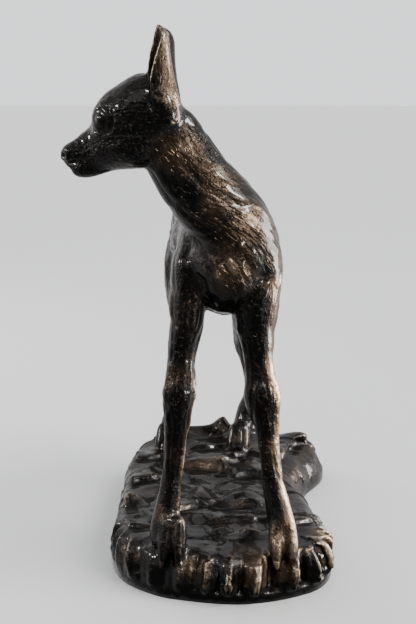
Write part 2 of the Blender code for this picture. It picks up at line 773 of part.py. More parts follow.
def carve(mesh):
    """Presses the muscles, the face, the locks of hair and the broken rock into the skin."""
    points = np.empty(len(mesh.vertices) * 3)
    mesh.vertices.foreach_get("co", points)
    normals = np.empty(len(mesh.vertices) * 3)
    mesh.vertex_normals.foreach_get("vector", normals)
    points, normals = points.reshape(-1, 3), normals.reshape(-1, 3)
    own = (points - (0, 0, GROUND_HEIGHT)) / UNIT
    push = np.zeros(len(points))
    for *where, radius, out in BODY_TOUCHES:
        push += touched(own, where, radius, out)
    for start, end, width, depth in BODY_FURROWS:
        push -= depth * np.exp(-((off_line(own, start, end) / width) ** 2))
    for side in (1, -1):
        for forward, up, sideways, radius, out in HEAD_TOUCHES:
            push += touched(own, head_point(forward, up, sideways * side), radius, out)
        for start, end, width, depth in HEAD_FURROWS:
            start, end = (head_point(f, u, s * side) for f, u, s in (start, end))
            push -= depth * np.exp(-((off_line(own, start, end) / width) ** 2))
        forward, up, sideways = EYE
        off_eye = np.linalg.norm(own - head_point(forward, up, sideways * side), axis=1)
        for ring, out in ((EYE_RIM, EYE_RIM_PUSH), (EYE_HOLLOW, EYE_HOLLOW_PUSH)):
            push += out * np.exp(-(((off_eye - ring) / EYE_RIM_WIDTH) ** 2))
    push += np.interp(own[:, 2], HAIR_HEIGHTS, (0, 1)) * hair(own)
    push += rock_relief(points, own)
    points += normals * push[:, None] * UNIT
    mesh.vertices.foreach_set("co", points.ravel())
    mesh.update()


def lightened(mesh):
    """The same skin with fewer, larger triangles, cut off flat at the underside."""
    whole = bpy.data.objects.new("whole", mesh)
    bpy.context.scene.collection.objects.link(whole)
    fewer = whole.modifiers.new("fewer", "DECIMATE")
    fewer.ratio = TRIANGLES / (2 * len(mesh.polygons))
    fewer.use_collapse_triangulate = True
    depsgraph = bpy.context.evaluated_depsgraph_get()
    light = bpy.data.meshes.new_from_object(whole.evaluated_get(depsgraph))
    bpy.data.objects.remove(whole)
    body = bmesh.new()
    body.from_mesh(light)
    everything = body.verts[:] + body.edges[:] + body.faces[:]
    cut = bmesh.ops.bisect_plane(
        body, geom=everything, plane_co=(0, 0, 0), plane_no=(0, 0, -1), clear_outer=True
    )
    rim = [edge for edge in cut["geom_cut"] if isinstance(edge, bmesh.types.BMEdge)]
    bmesh.ops.triangle_fill(body, use_beauty=True, edges=rim, normal=(0, 0, -1))
    bmesh.ops.triangulate(body, faces=body.faces)
    body.to_mesh(light)
    body.free()
    return light


def bronze():
    material = bpy.data.materials.new("dark_bronze")
    material.use_nodes = True
    shader = material.node_tree.nodes["Principled BSDF"]
    shader.inputs["Base Color"].default_value = (0.045, 0.028, 0.018, 1)
    shader.inputs["Metallic"].default_value = 0.9
    shader.inputs["Roughness"].default_value = 0.28
    return material


def build():
    for old in list(bpy.data.objects):
        bpy.data.objects.remove(old)

    form = Form()
    for stations in (
        TRUNK,
        NECK,
        LEFT_FORELEG,
        RIGHT_FORELEG,
        LEFT_HIND_LEG,
        RIGHT_HIND_LEG,
        TAIL,
    ):
        form.add_rings(limb_rings(stations))
    for stations in (CRANIUM, MUZZLE, CHIN):
        form.add_rings(limb_rings(head_stations(stations), way=heading(NOSE_TURN)))
    for side in (1, -1):
        forward, up, sideways = EYE
        eye = head_point(forward, up, sideways * side)
        form.add_rings(limb_rings(ball_stations(eye, EYE_RADIUS / UNIT), steps=2))
        forward, up, sideways = EAR_ROOT
        root = head_point(forward, up, sideways * side)
        form.add_rings(limb_rings(ball_stations(root, EAR_ROOT_RADIUS), steps=2))
    for hoof in HOOVES:
        for side in (1, -1):
            form.add_rings(limb_rings(claw_stations(hoof, side)))
    form.add_rings(ground_rings())

    body = bpy.data.objects.new("body", form.mesh("body"))
    bpy.context.scene.collection.objects.link(body)
    ears = [ear_object(side) for side in (1, -1)]
    for ear in ears:
        depsgraph = bpy.context.evaluated_depsgraph_get()
        ear.data = bpy.data.meshes.new_from_object(ear.evaluated_get(depsgraph))
        ear.modifiers.clear()
    mesh = fused([body, *ears])
    relax(mesh, RELAX_STEPS)
    carve(mesh)
    relax(mesh, FINAL_STEPS)
    mesh = lightened(mesh)
    mesh.name = "fawn_on_ground"

    statue = bpy.data.objects.new("fawn_on_ground", mesh)
    statue.data.materials.clear()
    statue.data.materials.append(bronze())
    collection = bpy.data.collections.new("fawn_statue")
    bpy.context.scene.collection.children.link(collection)
    collection.objects.link(statue)
    return statue


build()
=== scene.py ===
"""The finished look of a bronze fawn that stands on a piece of rough ground.

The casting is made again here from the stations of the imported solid, with a finer skin that carries
the locks of its coat, its face, its claws, and the folds and broken ledges of the ground. It stands
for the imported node. Units are metres, +Z is up, and the fawn faces -Y with its head turned to -X.
"""

import math
from itertools import product

import bmesh
import bpy
import numpy as np
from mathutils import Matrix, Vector

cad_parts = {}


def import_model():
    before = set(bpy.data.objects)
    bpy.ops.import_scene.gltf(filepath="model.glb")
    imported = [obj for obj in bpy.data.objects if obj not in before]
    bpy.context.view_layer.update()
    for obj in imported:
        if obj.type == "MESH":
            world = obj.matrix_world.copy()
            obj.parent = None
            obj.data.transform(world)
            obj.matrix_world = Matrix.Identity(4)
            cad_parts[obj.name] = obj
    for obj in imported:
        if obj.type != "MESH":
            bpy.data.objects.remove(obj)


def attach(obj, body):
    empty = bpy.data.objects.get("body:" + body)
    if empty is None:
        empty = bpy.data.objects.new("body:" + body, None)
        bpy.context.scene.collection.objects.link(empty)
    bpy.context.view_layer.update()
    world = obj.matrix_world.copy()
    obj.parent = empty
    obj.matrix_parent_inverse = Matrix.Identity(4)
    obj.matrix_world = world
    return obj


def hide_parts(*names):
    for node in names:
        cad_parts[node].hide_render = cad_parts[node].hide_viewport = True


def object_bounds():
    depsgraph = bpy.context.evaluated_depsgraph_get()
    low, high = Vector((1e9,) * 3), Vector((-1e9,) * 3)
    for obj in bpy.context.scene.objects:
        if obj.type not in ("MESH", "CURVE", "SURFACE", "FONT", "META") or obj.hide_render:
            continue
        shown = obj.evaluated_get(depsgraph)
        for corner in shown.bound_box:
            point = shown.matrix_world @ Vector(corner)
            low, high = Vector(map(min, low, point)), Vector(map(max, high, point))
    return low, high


# Driving dimensions.
FAWN_HEIGHT = 0.572  # from the top of the ground to the tips of the ears
GROUND_LENGTH = 0.442  # along Y
GROUND_WIDTH = 0.286  # along X
GROUND_HEIGHT = 0.050  # from the underside to the mean level of the top
FOOT_BAND = 0.010  # smooth band round the foot of the ground, below the folds
EAR_WALL = 0.0046  # thickness of the cupped ears
EYE_RADIUS = 0.0098
NOSE_TURN = -98.0  # degrees that the head is turned from the line of the body, about Z

# How finely the casting's surface is made.
VOXEL = 0.0017
RELAX_STEPS = 22
FINAL_STEPS = 1
SOFT_JOINS = 0.5  # how far a point of the body moves towards its neighbours in one step
CRISP_JOINS = 0.12  # the same for the ground, with its folds and rocks
JOIN_HEIGHTS = (1.0, 1.6)  # where the crisp ones give way to the soft, in heights of the ground
TRIANGLES = 190000
RING_POINTS = 40
RING_STEPS = 6  # rings from one station to the next
CURVE_STEPS = 4  # the same where coarser ones will do
EAR_POINTS = 19
BALL_RINGS = 7
BALL_TILT = 85  # degrees from a ball's middle to its last ring

# The fawn's stations are in parts of its height, which reaches from the ground to the ear tips.
HEIGHT_PARTS = 572
UNIT = FAWN_HEIGHT / HEIGHT_PARTS
BELOW_FOOT = 0.008  # the ground's form runs on this far down before it is cut off flat

# All unevenness is read from blocks of random values.
LATTICE = 24  # values to each side of a block
SEED = 7

# Each station is x, y, z above the ground, half the width, half the depth, and the turn of the
# width's direction about Z, in degrees.
TRUNK = (
    (4, -178, 300, 18, 26, 0),
    (4, -166, 306, 36, 45, 0),
    (3, -138, 316, 49, 60, 0),
    (0, -95, 322, 54, 66, 0),
    (-3, -40, 321, 58, 63, 0),
    (-7, 20, 324, 61, 58, 0),
    (-11, 75, 331, 57, 52, 0),
    (-14, 125, 340, 53, 50, 0),
    (-15, 165, 336, 44, 46, 0),
    (-15, 190, 325, 24, 30, 0),
)
NECK = (
    (8, -108, 290, 44, 50, 0),
    (10, -126, 322, 50, 54, 0),
    (8, -140, 346, 49, 52, -14),
    (-1, -150, 370, 44, 46, -35),
    (-17, -159, 393, 38, 44, -55),
    (-35.5, -167, 417, 31, 40, -78),
    (-49.5, -173, 440, 28, 37.5, -90),
    (-61, -177, 460, 26, 36, -98),
    (-74, -179, 478, 20, 30, -98),
)
LEFT_FORELEG = (
    (20, -110, 388, 12, 20, 0),
    (30, -116, 350, 24, 36, 0),
    (36, -126, 310, 26, 42, 0),
    (35, -137, 275, 25, 35, 0),
    (33, -142, 250, 23, 27, 0),
    (35, -147, 229, 19, 21, 0),
    (36, -150, 212, 17, 18, 0),
    (39, -155, 190, 18, 18, 0),
    (41, -159, 175, 21, 20, 0),
    (43, -159, 156, 19, 18, 0),
    (46, -158, 137, 16, 16, 0),
    (48, -158, 115, 13.6, 14, 0),
    (51, -160, 96, 13, 13, 0),
    (54, -163, 74, 13, 13.5, 0),
    (57.5, -168, 56, 14, 15, 0),
    (61, -173, 38, 15, 17, 0),
    (65, -177, 22, 15, 17, 0),
    (68, -180, 6, 14, 16, 0),
)
RIGHT_FORELEG = (
    (-16, -106, 388, 12, 20, 0),
    (-26, -112, 350, 24, 36, 0),
    (-34, -122, 310, 26, 40, 0),
    (-42.5, -134, 275, 21.5, 34, 0),
    (-44, -142, 253, 19, 26, 0),
    (-48, -147, 229, 17, 20, 0),
    (-50, -150, 212, 16, 18, 0),
    (-51, -155, 190, 18, 19, 0),
    (-52.5, -159, 175, 19.5, 20, 0),
    (-54, -159, 156, 17, 18, 0),
    (-55, -157, 136, 15.6, 16, 0),
    (-58, -157, 115, 14, 14, 0),
    (-59, -158, 95, 13, 13, 0),
    (-61.5, -160, 74, 12.5, 13, 0),
    (-64, -162, 54, 14, 15, 0),
    (-67, -165, 37, 15.5, 17, 0),
    (-68, -170, 20, 18.5, 18, 0),
    (-67, -175, 5, 18, 17, 0),
)
LEFT_HIND_LEG = (
    (6, 152, 368, 18, 28, 0),
    (12, 142, 342, 28, 44, 0),
    (20, 130, 305, 29, 50, 0),
    (27, 119, 270, 25, 43, 0),
    (29, 122, 240, 20, 36, 0),
    (29, 137, 206, 17, 27, 0),
    (31, 157, 172, 16, 20, 0),
    (32, 169, 149, 15, 18, 0),
    (38, 173, 128, 12, 15, 0),
    (42, 171, 98, 11, 12.5, 0),
    (42, 171, 76, 11.5, 12.5, 0),
    (37, 170, 56, 14, 15, 0),
    (33, 165, 38, 15, 16.5, 0),
    (28, 158, 21, 14, 16, 0),
    (24, 152, 8, 12, 14, 0),
)
RIGHT_HIND_LEG = (
    (-34, 152, 368, 18, 28, 0),
    (-41, 141, 342, 27, 44, 0),
    (-46, 128, 305, 26, 50, 0),
    (-55, 116, 270, 24, 43, 0),
    (-57, 119, 240, 21, 36, 0),
    (-56, 135, 206, 17, 27, 0),
    (-60, 156, 172, 14, 20, 0),
    (-62, 171, 147, 13.5, 18, 0),
    (-64, 172, 122, 12.5, 15, 0),
    (-67, 170, 95, 11, 12.5, 0),
    (-70, 168, 70, 11, 12.5, 0),
    (-72, 167, 50, 12, 14, 0),
    (-74, 163, 34, 14, 16, 0),
    (-76, 156, 19, 13, 15, 0),
    (-78, 150, 6, 12, 14, 0),
)
TAIL = (
    (-15, 186, 352, 9, 9, 0),
    (-15, 202, 345, 12, 10, 0),
    (-15, 211, 322, 13, 9, 0),
    (-15, 212, 298, 10, 7, 0),
    (-15, 210, 282, 4, 3, 0),
)

LEGS = (LEFT_FORELEG, RIGHT_FORELEG, LEFT_HIND_LEG, RIGHT_HIND_LEG)

# Stations of the head are forward, up from the skull's middle, half the width, half the depth.
SKULL_PLACE = (-100, -178, 475)
CRANIUM = (
    (-53, 5, 9, 12),
    (-46, 6, 20, 25),
    (-32, 8, 29, 37),
    (-14, 9, 33, 42),
    (0, 8, 33.5, 38.5),
    (11, 6, 31, 34),
    (21, 3, 28, 31),
    (29, 0, 25, 27.5),
    (35, -3, 20.5, 23.5),
    (39, -5, 15, 16),
    (41.5, -7, 8, 8),
)
MUZZLE = (
    (-36, -10, 18, 22),
    (-14, -16, 25, 30),
    (8, -19, 26, 30),
    (25, -22, 22.5, 28),
    (36, -24, 19, 26.5),
    (46, -28, 15.5, 22.5),
    (54, -31, 14, 19.5),
    (62, -33.5, 13, 15.5),
    (69, -34.5, 12.5, 12),
    (74, -35, 9.5, 8),
    (76.5, -35.5, 4, 3.5),
)
CHIN = (
    (18, -43, 9, 7),
    (34, -46, 11, 9),
    (44, -48.5, 11, 9.5),
    (54, -49.5, 10.5, 9),
    (61, -50, 8, 6.5),
    (65, -50, 4, 3),
)
EYE = (24, 3.5, 22.5)  # forward, up, sideways

# Rows of a cupped ear: forward, up and sideways of the cup's middle, half its depth along the
# opening, half its width, and how far the opening is turned outwards, in degrees.
EAR = (
    (-32, -12, 10, 14, 8, 10),
    (-34, 8, 17, 21, 13, 12),
    (-31, 28, 22, 21, 15.5, 14),
    (-30, 45, 24, 18.5, 15, 17),
    (-31, 58, 26, 15.5, 14, 20),
    (-33, 70, 28, 12, 12.5, 25),
    (-35.5, 81, 30, 8.5, 10.5, 30),
    (-36.5, 90, 31, 5, 7.5, 34),
    (-35.5, 96, 31, 2, 3, 36),
)
EAR_WRAP = 112.0  # half the arc of the cup, in degrees
EAR_SLANT = 3.5  # how much higher the inner rim stands at the tip
FAR_EAR_FORWARD = 5.0  # the right ear is pricked this much further forward
EAR_ROOT = (-40, 6, 14)  # forward, up, sideways
EAR_ROOT_RADIUS = 17

# Hooves: x, y of the middle between the two claws, and the way they point, in degrees about Z.
HOOVES = (
    (64, -186, 8),
    (-60, -184, -8),
    (24, 146, -14),
    (-79, 146, -12),
)
# A claw's stations: forward, z, half the width, half the length.
CLAW = (
    (-5, 38, 6, 8),
    (-3, 28, 8.6, 11),
    (0, 17, 9.2, 13),
    (5, 7, 8.6, 13),
    (10, -3, 6.6, 9.5),
    (14, -10, 4.2, 6),
    (16, -16, 1.8, 2.8),
)
CLAW_SPREAD = 7.2  # half the distance between the two claws' middles
CLAW_SPLAY = 7.0  # degrees that each claw turns outwards

# Swellings and hollows pressed into the body: x, y, z above the ground, radius, and how far the
# surface is pushed out, all in the fawn's units.
BODY_TOUCHES = (
    (10, -176, 296, 20, 3),
    (50, -152, 320, 22, 5),
    (-46, -146, 322, 20, 5),
    (22, -165, 378, 24, 4),
    (-36, -152, 352, 14, -5),
    (34, -166, 312, 12, -4),
    (-28, -164, 308, 12, -4),
    (50, -92, 358, 30, 4),
    (-52, -86, 358, 30, 4),
    (50, -98, 286, 14, 4),
    (-48, -94, 286, 14, 4),
    (40, 62, 322, 26, -6),
    (-64, 62, 322, 26, -6),
    (26, 128, 384, 20, 4),
    (-48, 128, 384, 20, 4),
    (44, 118, 300, 28, 4),
    (-76, 116, 300, 28, 2),
    (2, -90, 390, 28, 7),
    (-15, 108, 386, 26, 4),
    (52, -156, 42, 6, 4),
    (68, -154, 42, 6, 4),
    (-76, -148, 40, 6, 4),
    (-58, -148, 40, 6, 4),
    (-80, 184, 40, 6, 4),
    (-66, 184, 40, 6, 4),
    (28, 184, 42, 6, 4),
    (42, 186, 42, 6, 4),
)
# Furrows: the two ends, the width and the depth, in the same units.
BODY_FURROWS = (
    ((54, -58, 372), (52, -66, 290), 11, 4),
    ((-60, -54, 372), (-56, -62, 290), 11, 4),
    ((27, -158, 158), (42, -160, 60), 3.5, 2.5),
    ((62, -158, 158), (70, -162, 60), 3.5, 2.5),
    ((-37, -158, 158), (-50, -156, 60), 3.5, 2.5),
    ((-71, -158, 158), (-78, -156, 60), 3.5, 2.5),
    ((14, 166, 205), (26, 182, 120), 4, 3),
    ((46, 166, 205), (50, 182, 120), 4, 3),
    ((-46, 166, 205), (-52, 182, 120), 4, 3),
    ((-72, 166, 205), (-75, 182, 120), 4, 3),
    ((50, 84, 345), (46, 90, 262), 8, 3),
    ((-78, 84, 345), (-76, 90, 262), 8, 3),
)
# The same for each side of the head: forward, up and sideways, then radius and push.
HEAD_TOUCHES = (
    (37, -3, 14, 7, -2.0),
    (26, 15, 22, 8, 2.0),
    (4, -22, 27, 16, 2.5),
    (46, -22, 16, 9, -1.8),
    (72, -34, 10, 4, -4.5),
    (68, -27, 9, 7, 1.8),
    (-10, -38, 20, 14, 2.0),
)
HEAD_FURROWS = (
    ((76, -43, 3), (58, -42, 13), 2.8, 3.6),
    ((58, -42, 13), (36, -38, 19), 2.8, 2.8),
)

# Locks of hair lie along each part of the body. They are furrows and swellings drawn out lengthwise.
LOCK_LENGTH = 42
LOCK_WIDTH = 10
LOCK_SWELL = 2.4  # how far the locks stand out
LOCK_FURROW = 2.0  # how deep the lines between them are cut
FURROW_WIDTH = 0.22  # of the lines between the locks, in shares of a lock
HAIR_REACH = 0.22  # how far off a part's surface its locks still count, in shares of its width
HAIR_HEIGHTS = (40, 100)  # where the locks start and where they reach their full depth
BLEND_REACH = 30  # how far off the stations are that share in a point's place along a part

# The ground's outline in plan, in shares of half its width and half its length, and for each point
# how far the top edge stands in from it and how deep the folds are, in shares of the ground's height.
OUTLINE = (
    (0.05, -0.985, 0.42, 0.16),
    (0.30, -0.965, 0.42, 0.20),
    (0.55, -0.905, 0.36, 0.20),
    (0.76, -0.81, 0.34, 0.16),
    (0.875, -0.64, 0.36, 0.09),
    (0.87, -0.38, 0.45, 0.04),
    (0.80, -0.10, 0.50, 0.02),
    (0.71, 0.20, 0.50, 0.02),
    (0.82, 0.44, 0.70, 0.01),
    (1.00, 0.66, 0.80, 0.01),
    (1.035, 0.82, 0.50, 0.01),
    (0.89, 0.94, 0.30, 0.02),
    (0.45, 0.99, 0.22, 0.03),
    (0.00, 1.01, 0.22, 0.03),
    (-0.45, 0.99, 0.22, 0.03),
    (-0.80, 0.88, 0.28, 0.02),
    (-0.93, 0.62, 0.30, 0.01),
    (-0.955, 0.20, 0.30, 0.01),
    (-0.965, -0.25, 0.30, 0.02),
    (-0.955, -0.50, 0.32, 0.04),
    (-0.83, -0.73, 0.36, 0.06),
    (-0.55, -0.89, 0.38, 0.07),
    (-0.25, -0.955, 0.40, 0.10),
)
FOLDS = 44  # folds round the whole ground
FOLD_WANDER = ((3, 0.35), (7, 0.2), (13, 0.06))  # waves round it, and how many folds they bunch up
FOLD_LEANS = ((4, 0.4), (7, 0.15))  # the same for how many folds they lean over on their way up
FOLD_PATCHES = 0.9  # how much shallower or deeper the folds get from patch to patch
PATCH_ROWS = 1.6  # patches from the foot to the top
FOLD_SHARP = 1.3  # power that narrows a fold's ridge
FOLD_RUN = (0.2, 0.85)  # shares of a half wave at which the folds start and end on their way up
RIPPLES = 3  # ripples to each fold
RIPPLE_SHARE = 0.34  # how deep they are, in shares of the fold
WALL_BULGE = 1.8  # power that keeps the wall upright near its foot
WALL_ROWS = 20
TOP_ROWS = 90
OUTLINE_STEPS = 26  # points between two of the outline's points

# Rocks on top of the ground: x and y in shares of half its width and half its length, then half
# length, half width and height in shares of its height, and a turn in degrees.
ROCKS = (
    (-0.83, -0.24, 0.34, 0.26, 0.26, 20),
    (-0.03, -0.61, 0.20, 0.16, 0.14, 30),
    (0.22, -0.65, 0.24, 0.16, 0.16, -20),
    (0.16, -0.18, 0.40, 0.24, 0.14, 20),
    (-0.45, -0.84, 0.60, 0.40, 0.10, 0),
    (0.66, 0.78, 1.00, 0.90, 0.17, 10),
    (0.90, 0.50, 0.40, 0.40, 0.10, 0),
    (-0.22, 0.92, 0.80, 0.34, 0.34, 6),
    (0.02, 0.92, 0.22, 0.26, 0.44, 70),
    (0.22, 0.86, 0.45, 0.32, 0.36, 20),
    (-0.62, 0.88, 0.80, 0.34, 0.26, -16),
)
ROCK_POWERS = (4, 1.6)  # how squarely a rock falls away, along and across
# Ledges that face the viewer: the two ends in shares of half the width and half the length, the
# rise, and how far behind its face a ledge slopes away, in shares of the ground's height.
LEDGES = (
    ((0.50, 0.45), (0.97, 0.76), 0.13, 1.4),
    ((-0.40, 0.36), (0.04, 0.27), 0.19, 0.5),
    ((0.03, 0.28), (0.22, 0.62), 0.18, 0.5),
    ((0.08, 0.18), (0.42, 0.22), 0.14, 0.8),
    ((-0.48, -0.36), (-0.06, -0.21), 0.16, 1.0),
    ((-0.05, -0.24), (0.36, -0.30), 0.12, 0.7),
    ((-0.20, -0.52), (0.42, -0.46), 0.10, 0.6),
    ((-0.90, -0.58), (-0.56, -0.56), 0.12, 0.6),
    ((-0.92, 0.04), (-0.58, 0.12), 0.14, 0.9),
    ((-0.88, 0.42), (-0.52, 0.50), 0.14, 0.9),
    ((0.42, -0.58), (0.82, -0.46), 0.12, 0.6),
    ((0.42, -0.02), (0.70, 0.04), 0.12, 0.6),
    ((-0.30, 0.66), (0.14, 0.72), 0.14, 0.6),
)
LEDGE_FACE = 0.06  # how far a ledge's steep face stands out in plan
LEDGE_WANDER = 0.14  # how far its edge wanders from the line between its ends
LEDGE_PATCH = 0.35  # length over which it does so
LEDGE_END = 0.2  # share of its length over which each end dies away

# Broken rock all over the ground: facets, and lumps and hollows, in shares of the ground's height.
FACET_SIZES = (0.95, 0.62, 0.55)
FACET_RELIEF = 0.04
LUMP_SIZES = ((0.60, 0.055), (0.28, 0.030))  # each with its relief
LUMPS_FROM = 3  # where in a block of random values they are read
ROCK_END = 1.5  # height above which there are none
ROCK_FADE = 0.2  # height below it over which they die away
FOOT_CLEAR = 16  # distance from a hoof's middle where there are none, in the fawn's units
FOOT_FADE = 26  # distance beyond it over which they come up

# Strokes of the modelling tool that break the locks up, in the fawn's units.
STROKE_LENGTH = 24
STROKE_WIDTH = 4.4
STROKE_RISE = 1.9  # how far they stand out
STROKE_LEVEL = 0.55  # distance from a stroke's middle at which it neither rises nor sinks
STROKE_WAVE = 4  # how far they bend aside
EAR_COAT = 0.35
EAR_FROM = 510  # height from which the coat is the ears' own
COAT_UNEVEN = 0.9  # how much the strokes strengthen and fade from patch to patch
COAT_PATCH = 55
COAT_MARGIN = 1.6  # how far round a part its coat is looked for, in shares of its largest width
COAT_APART = 7  # how far apart two parts' places lie
COAT_LEAST = 0.001  # share of a coat below which a point is in none
COAT_TRUST = 2.5  # how fast a coat comes up where one part gives way to another
COAT_HEIGHTS = (20, 60)  # where the finest strokes start and where they reach their full depth

# Each part's coat: shares of the locks and of the strokes, and the strokes' length.
TRUNK_COAT = (1.0, 0.9, 11)
NECK_COAT = (0.55, 0.38, 20)
LEG_COAT = (0.6, 0.45, 14)
SKULL_COAT = (0.12, 0.45, 10)
MUZZLE_COAT = (0.08, 0.5, 7)
COAT_SEEDS = (0, 5, 9, 13, 17, 21, 3, 3)  # where in a block each part's coat is read

# Rings pressed round each eye: distance from its middle, width and push.
EYE_RINGS = (
    (8.4, 1.1, -1.3),
    (11.0, 1.5, 1.7),
    (14.2, 1.5, -1.1),
    (17.6, 2.2, 0.7),
)
EYE_BARE = 12  # distance from an eye's middle within which there is no hair
EYE_FADE = 3  # distance beyond it over which the hair comes up

# Ridges and hollows are looked for at two scales: the steps of smoothing, and the height that counts
# as full.
RIDGE_SCALES = (
    ("fine_ridge", 6, 0.0006),
    ("ridge", 40, 0.0022),
)

# Places that are rubbed brown, places lightened as painted highlights where the lamps gleam, and places
# left dark: x, y, z above the ground, radius and share, in the fawn's units.
RUBBED_AND_HIGHLIGHT_PLACES = (
    (-46, -205, 446, 24, 0.55),
    (-10, -195, 411, 28, 0.2),
    # The next two are painted highlights of the gleam on the shoulder and on the breast below it.
    (24, -182, 372, 19, 0.44),
    (3, -198, 318, 24, 0.55),
    (-135, -195, 480, 42, -0.8),
    (50, -150, 330, 30, 0.2),
    (-60, -206, 540, 34, 0.38),
    (-50, -206, 500, 22, 0.24),
    (64, -190, 26, 20, 0.3),
    (-78, -175, 40, 16, 0.2),
    (-35, -212, 6, 34, 0.12),
    (60, -215, -2, 30, 0.32),
    (-25, 68, 8, 30, 0.2),
    (112, 60, 12, 34, 0.35),
    # The next two are painted highlights of the gleam on the facets at the ground's front right corner
    # and on the folds at its front.
    (132, -150, 0, 34, 0.35),
    (45, -224, -22, 28, 0.4),
    (34, 150, 14, 16, 0.6),
    (-118, -53, 8, 16, 0.1),
)
# Edges that are rubbed all along, which also serve as painted highlights down the sides of the forelegs
# and the breast that face the right-hand lamp: both ends, the width of the band, and its share.
RUBBED_AND_HIGHLIGHT_EDGES = (
    ((84, -184, 8), (70, -172, 62), 9, 0.8),
    ((70, -172, 62), (62, -168, 120), 9, 0.8),
    ((62, -168, 120), (56, -164, 205), 10, 0.7),
    ((56, -164, 205), (62, -158, 300), 12, 0.6),
    ((66, -138, 300), (60, -122, 380), 11, 0.3),
    ((-50, -178, 10), (-47, -160, 100), 7, 0.6),
    ((-47, -160, 100), (-34, -160, 190), 7, 0.5),
)
FOOT_DARK = 1.0  # how much darker the foot of the ground is left

# The finish. Sizes and depths are in metres.
BLACK_PATINA = (0.0085, 0.0075, 0.0068)
BROWN_PATINA = (0.102, 0.064, 0.038)
# Bare bronze where the patina is rubbed through, also used for painted highlights.
RUBBED_AND_HIGHLIGHT_BRONZE = (0.42, 0.312, 0.215)
HOLLOW_BLACK = (0.004, 0.0035, 0.003)
METAL = 0.85
GLOSS = 0.32  # roughness of clean patina
LACQUER = 0.22
LACQUER_ROUGHNESS = 0.07
PATCH_SIZE = 0.050
SPECK_SIZE = 0.004
# The rubbing here also counts the places lightened as painted highlights.
WORN_AND_HIGHLIT_FROM, WORN_AND_HIGHLIT_TO = 0.65, 1.35  # heights and rubbing at which bronze starts to show and is bare
WARM_FROM, WARM_TO = 0.05, 0.70  # the same for brown
GROUND_FADE = (-1.3, -1.1)  # where the ground's duller finish ends, in heights of the ground, downwards
PIT_SIZE, PIT_DEPTH = 0.0020, 0.0006
DENT_SIZE, DENT_DEPTH = 0.009, 0.0013
STROKE_DEPTH = 0.0016
FLECK_DEPTH = 0.0018
FLECK_FROM, FLECK_TO = 0.60, 0.70  # noise at which a fleck starts and is full
EDGE_TINT = (0.55, 0.53, 0.51)  # how much of the gleam is left where a surface turns away
BRUSHED_SIZES = (3.2, 3.2, 16.0)  # width, width and length of the finest strokes of the coat
FLECK_SIZES = (4.0, 4.0, 9.0)  # the same for the flecks that stand out and catch the light

# The studio.
PICTURE_HEIGHT = 624  # pixels
CAMERA_FOCAL_PIXELS = 1035.0
CAMERA_PLACE = (-0.020, -1.270, 0.561)
CAMERA_TIP = 12.27  # degrees below level
FILM_HEIGHT = 36.0
STATUE_MIDDLE = (0.0, 0.0, 0.33)
FLOOR_WIDTH = 60.0
FLOOR_COLOUR = (0.86, 0.86, 0.845)
FLOOR_ROUGHNESS = 0.7
DOME_FRONT = (0.13, 0.135, 0.14)
DOME_BACK = (1.45, 1.47, 1.52)
DOME_FROM, DOME_TO = -0.6, 0.6  # where the dome turns from its front to its back, -1 to 1
SUN_STRENGTH = 2.7
SUN_ANGLE = 40.0  # degrees across
SUN_PLACE = (0.85, -0.25, 0.9)  # the way to it
# Soft boxes: name, place, size, watts, and whether it only shows as a gleam.
SOFT_LIGHTS = (
    ("right_light", (1.40, 0.30, 0.30), 0.70, 65.0, True),
    ("left_front_light", (-1.30, -0.95, 1.10), 0.14, 13.0, True),
    ("left_light", (-1.40, -0.25, 0.80), 0.14, 11.0, True),
    ("high_front_light", (0.20, -1.30, 2.10), 0.12, 11.0, True),
    ("right_front_light", (1.20, -0.75, 1.30), 0.30, 36.0, True),
    ("low_right_light", (1.10, -1.00, 0.25), 0.14, 9.0, True),
    ("left_rear_light", (-1.40, 0.90, 0.80), 1.10, 9.0, False),
    ("front_light", (-0.60, -1.70, 1.90), 1.20, 8.0, False),
)


def smooth_rows(rows, steps, closed=False):
    """Rows on a Catmull-Rom curve through the given rows, `steps` of them to each stretch."""
    rows = np.array(rows, float)
    if closed:
        padded = np.vstack([rows[-1:], rows, rows[:2]])
    else:
        padded = np.vstack([2 * rows[0] - rows[1], rows, 2 * rows[-1] - rows[-2]])
    out = []
    for before, start, end, after in zip(padded, padded[1:], padded[2:], padded[3:]):
        for step in range(steps):
            t = step / steps
            point = 2 * start + (end - before) * t
            point += (2 * before - 5 * start + 4 * end - after) * t**2
            point += (3 * start - before - 3 * end + after) * t**3
            out.append(0.5 * point)
    if not closed:
        out.append(rows[-1])
    return np.array(out)


def drawn(block, corner):
    """The block's values at whole steps of its lattice, which repeats on every side."""
    x, y, z = (corner % LATTICE).T
    return block[x, y, z]


def wandering(points):
    """A smooth value between about -1 and 1 that wanders from place to place, one unit apart."""
    block = np.random.default_rng(SEED).uniform(-1, 1, (LATTICE, LATTICE, LATTICE))
    cell = np.floor(points).astype(int)
    inside = points - cell
    x, y, z = (inside * inside * (3 - 2 * inside)).T
    total = np.zeros(len(points))
    for i, j, k in product((0, 1), repeat=3):
        share = (x if i else 1 - x) * (y if j else 1 - y) * (z if k else 1 - z)
        total += share * drawn(block, cell + (i, j, k))
    return total


def placed(name, data):
    """An object of the scene that shows a mesh, a light or a camera."""
    thing = bpy.data.objects.new(name, data)
    bpy.context.scene.collection.objects.link(thing)
    return thing


def worked_out(thing):
    """The mesh that an object's modifiers make of it."""
    depsgraph = bpy.context.evaluated_depsgraph_get()
    return bpy.data.meshes.new_from_object(thing.evaluated_get(depsgraph))


def read(things, field, width, kind=float):
    """One row of values for each point or edge of a mesh."""
    values = np.empty(len(things) * width, kind)
    things.foreach_get(field, values)
    return values.reshape(-1, width)


def points_of(mesh):
    return read(mesh.vertices, "co", 3)


def normals_of(mesh):
    return read(mesh.vertex_normals, "vector", 3)


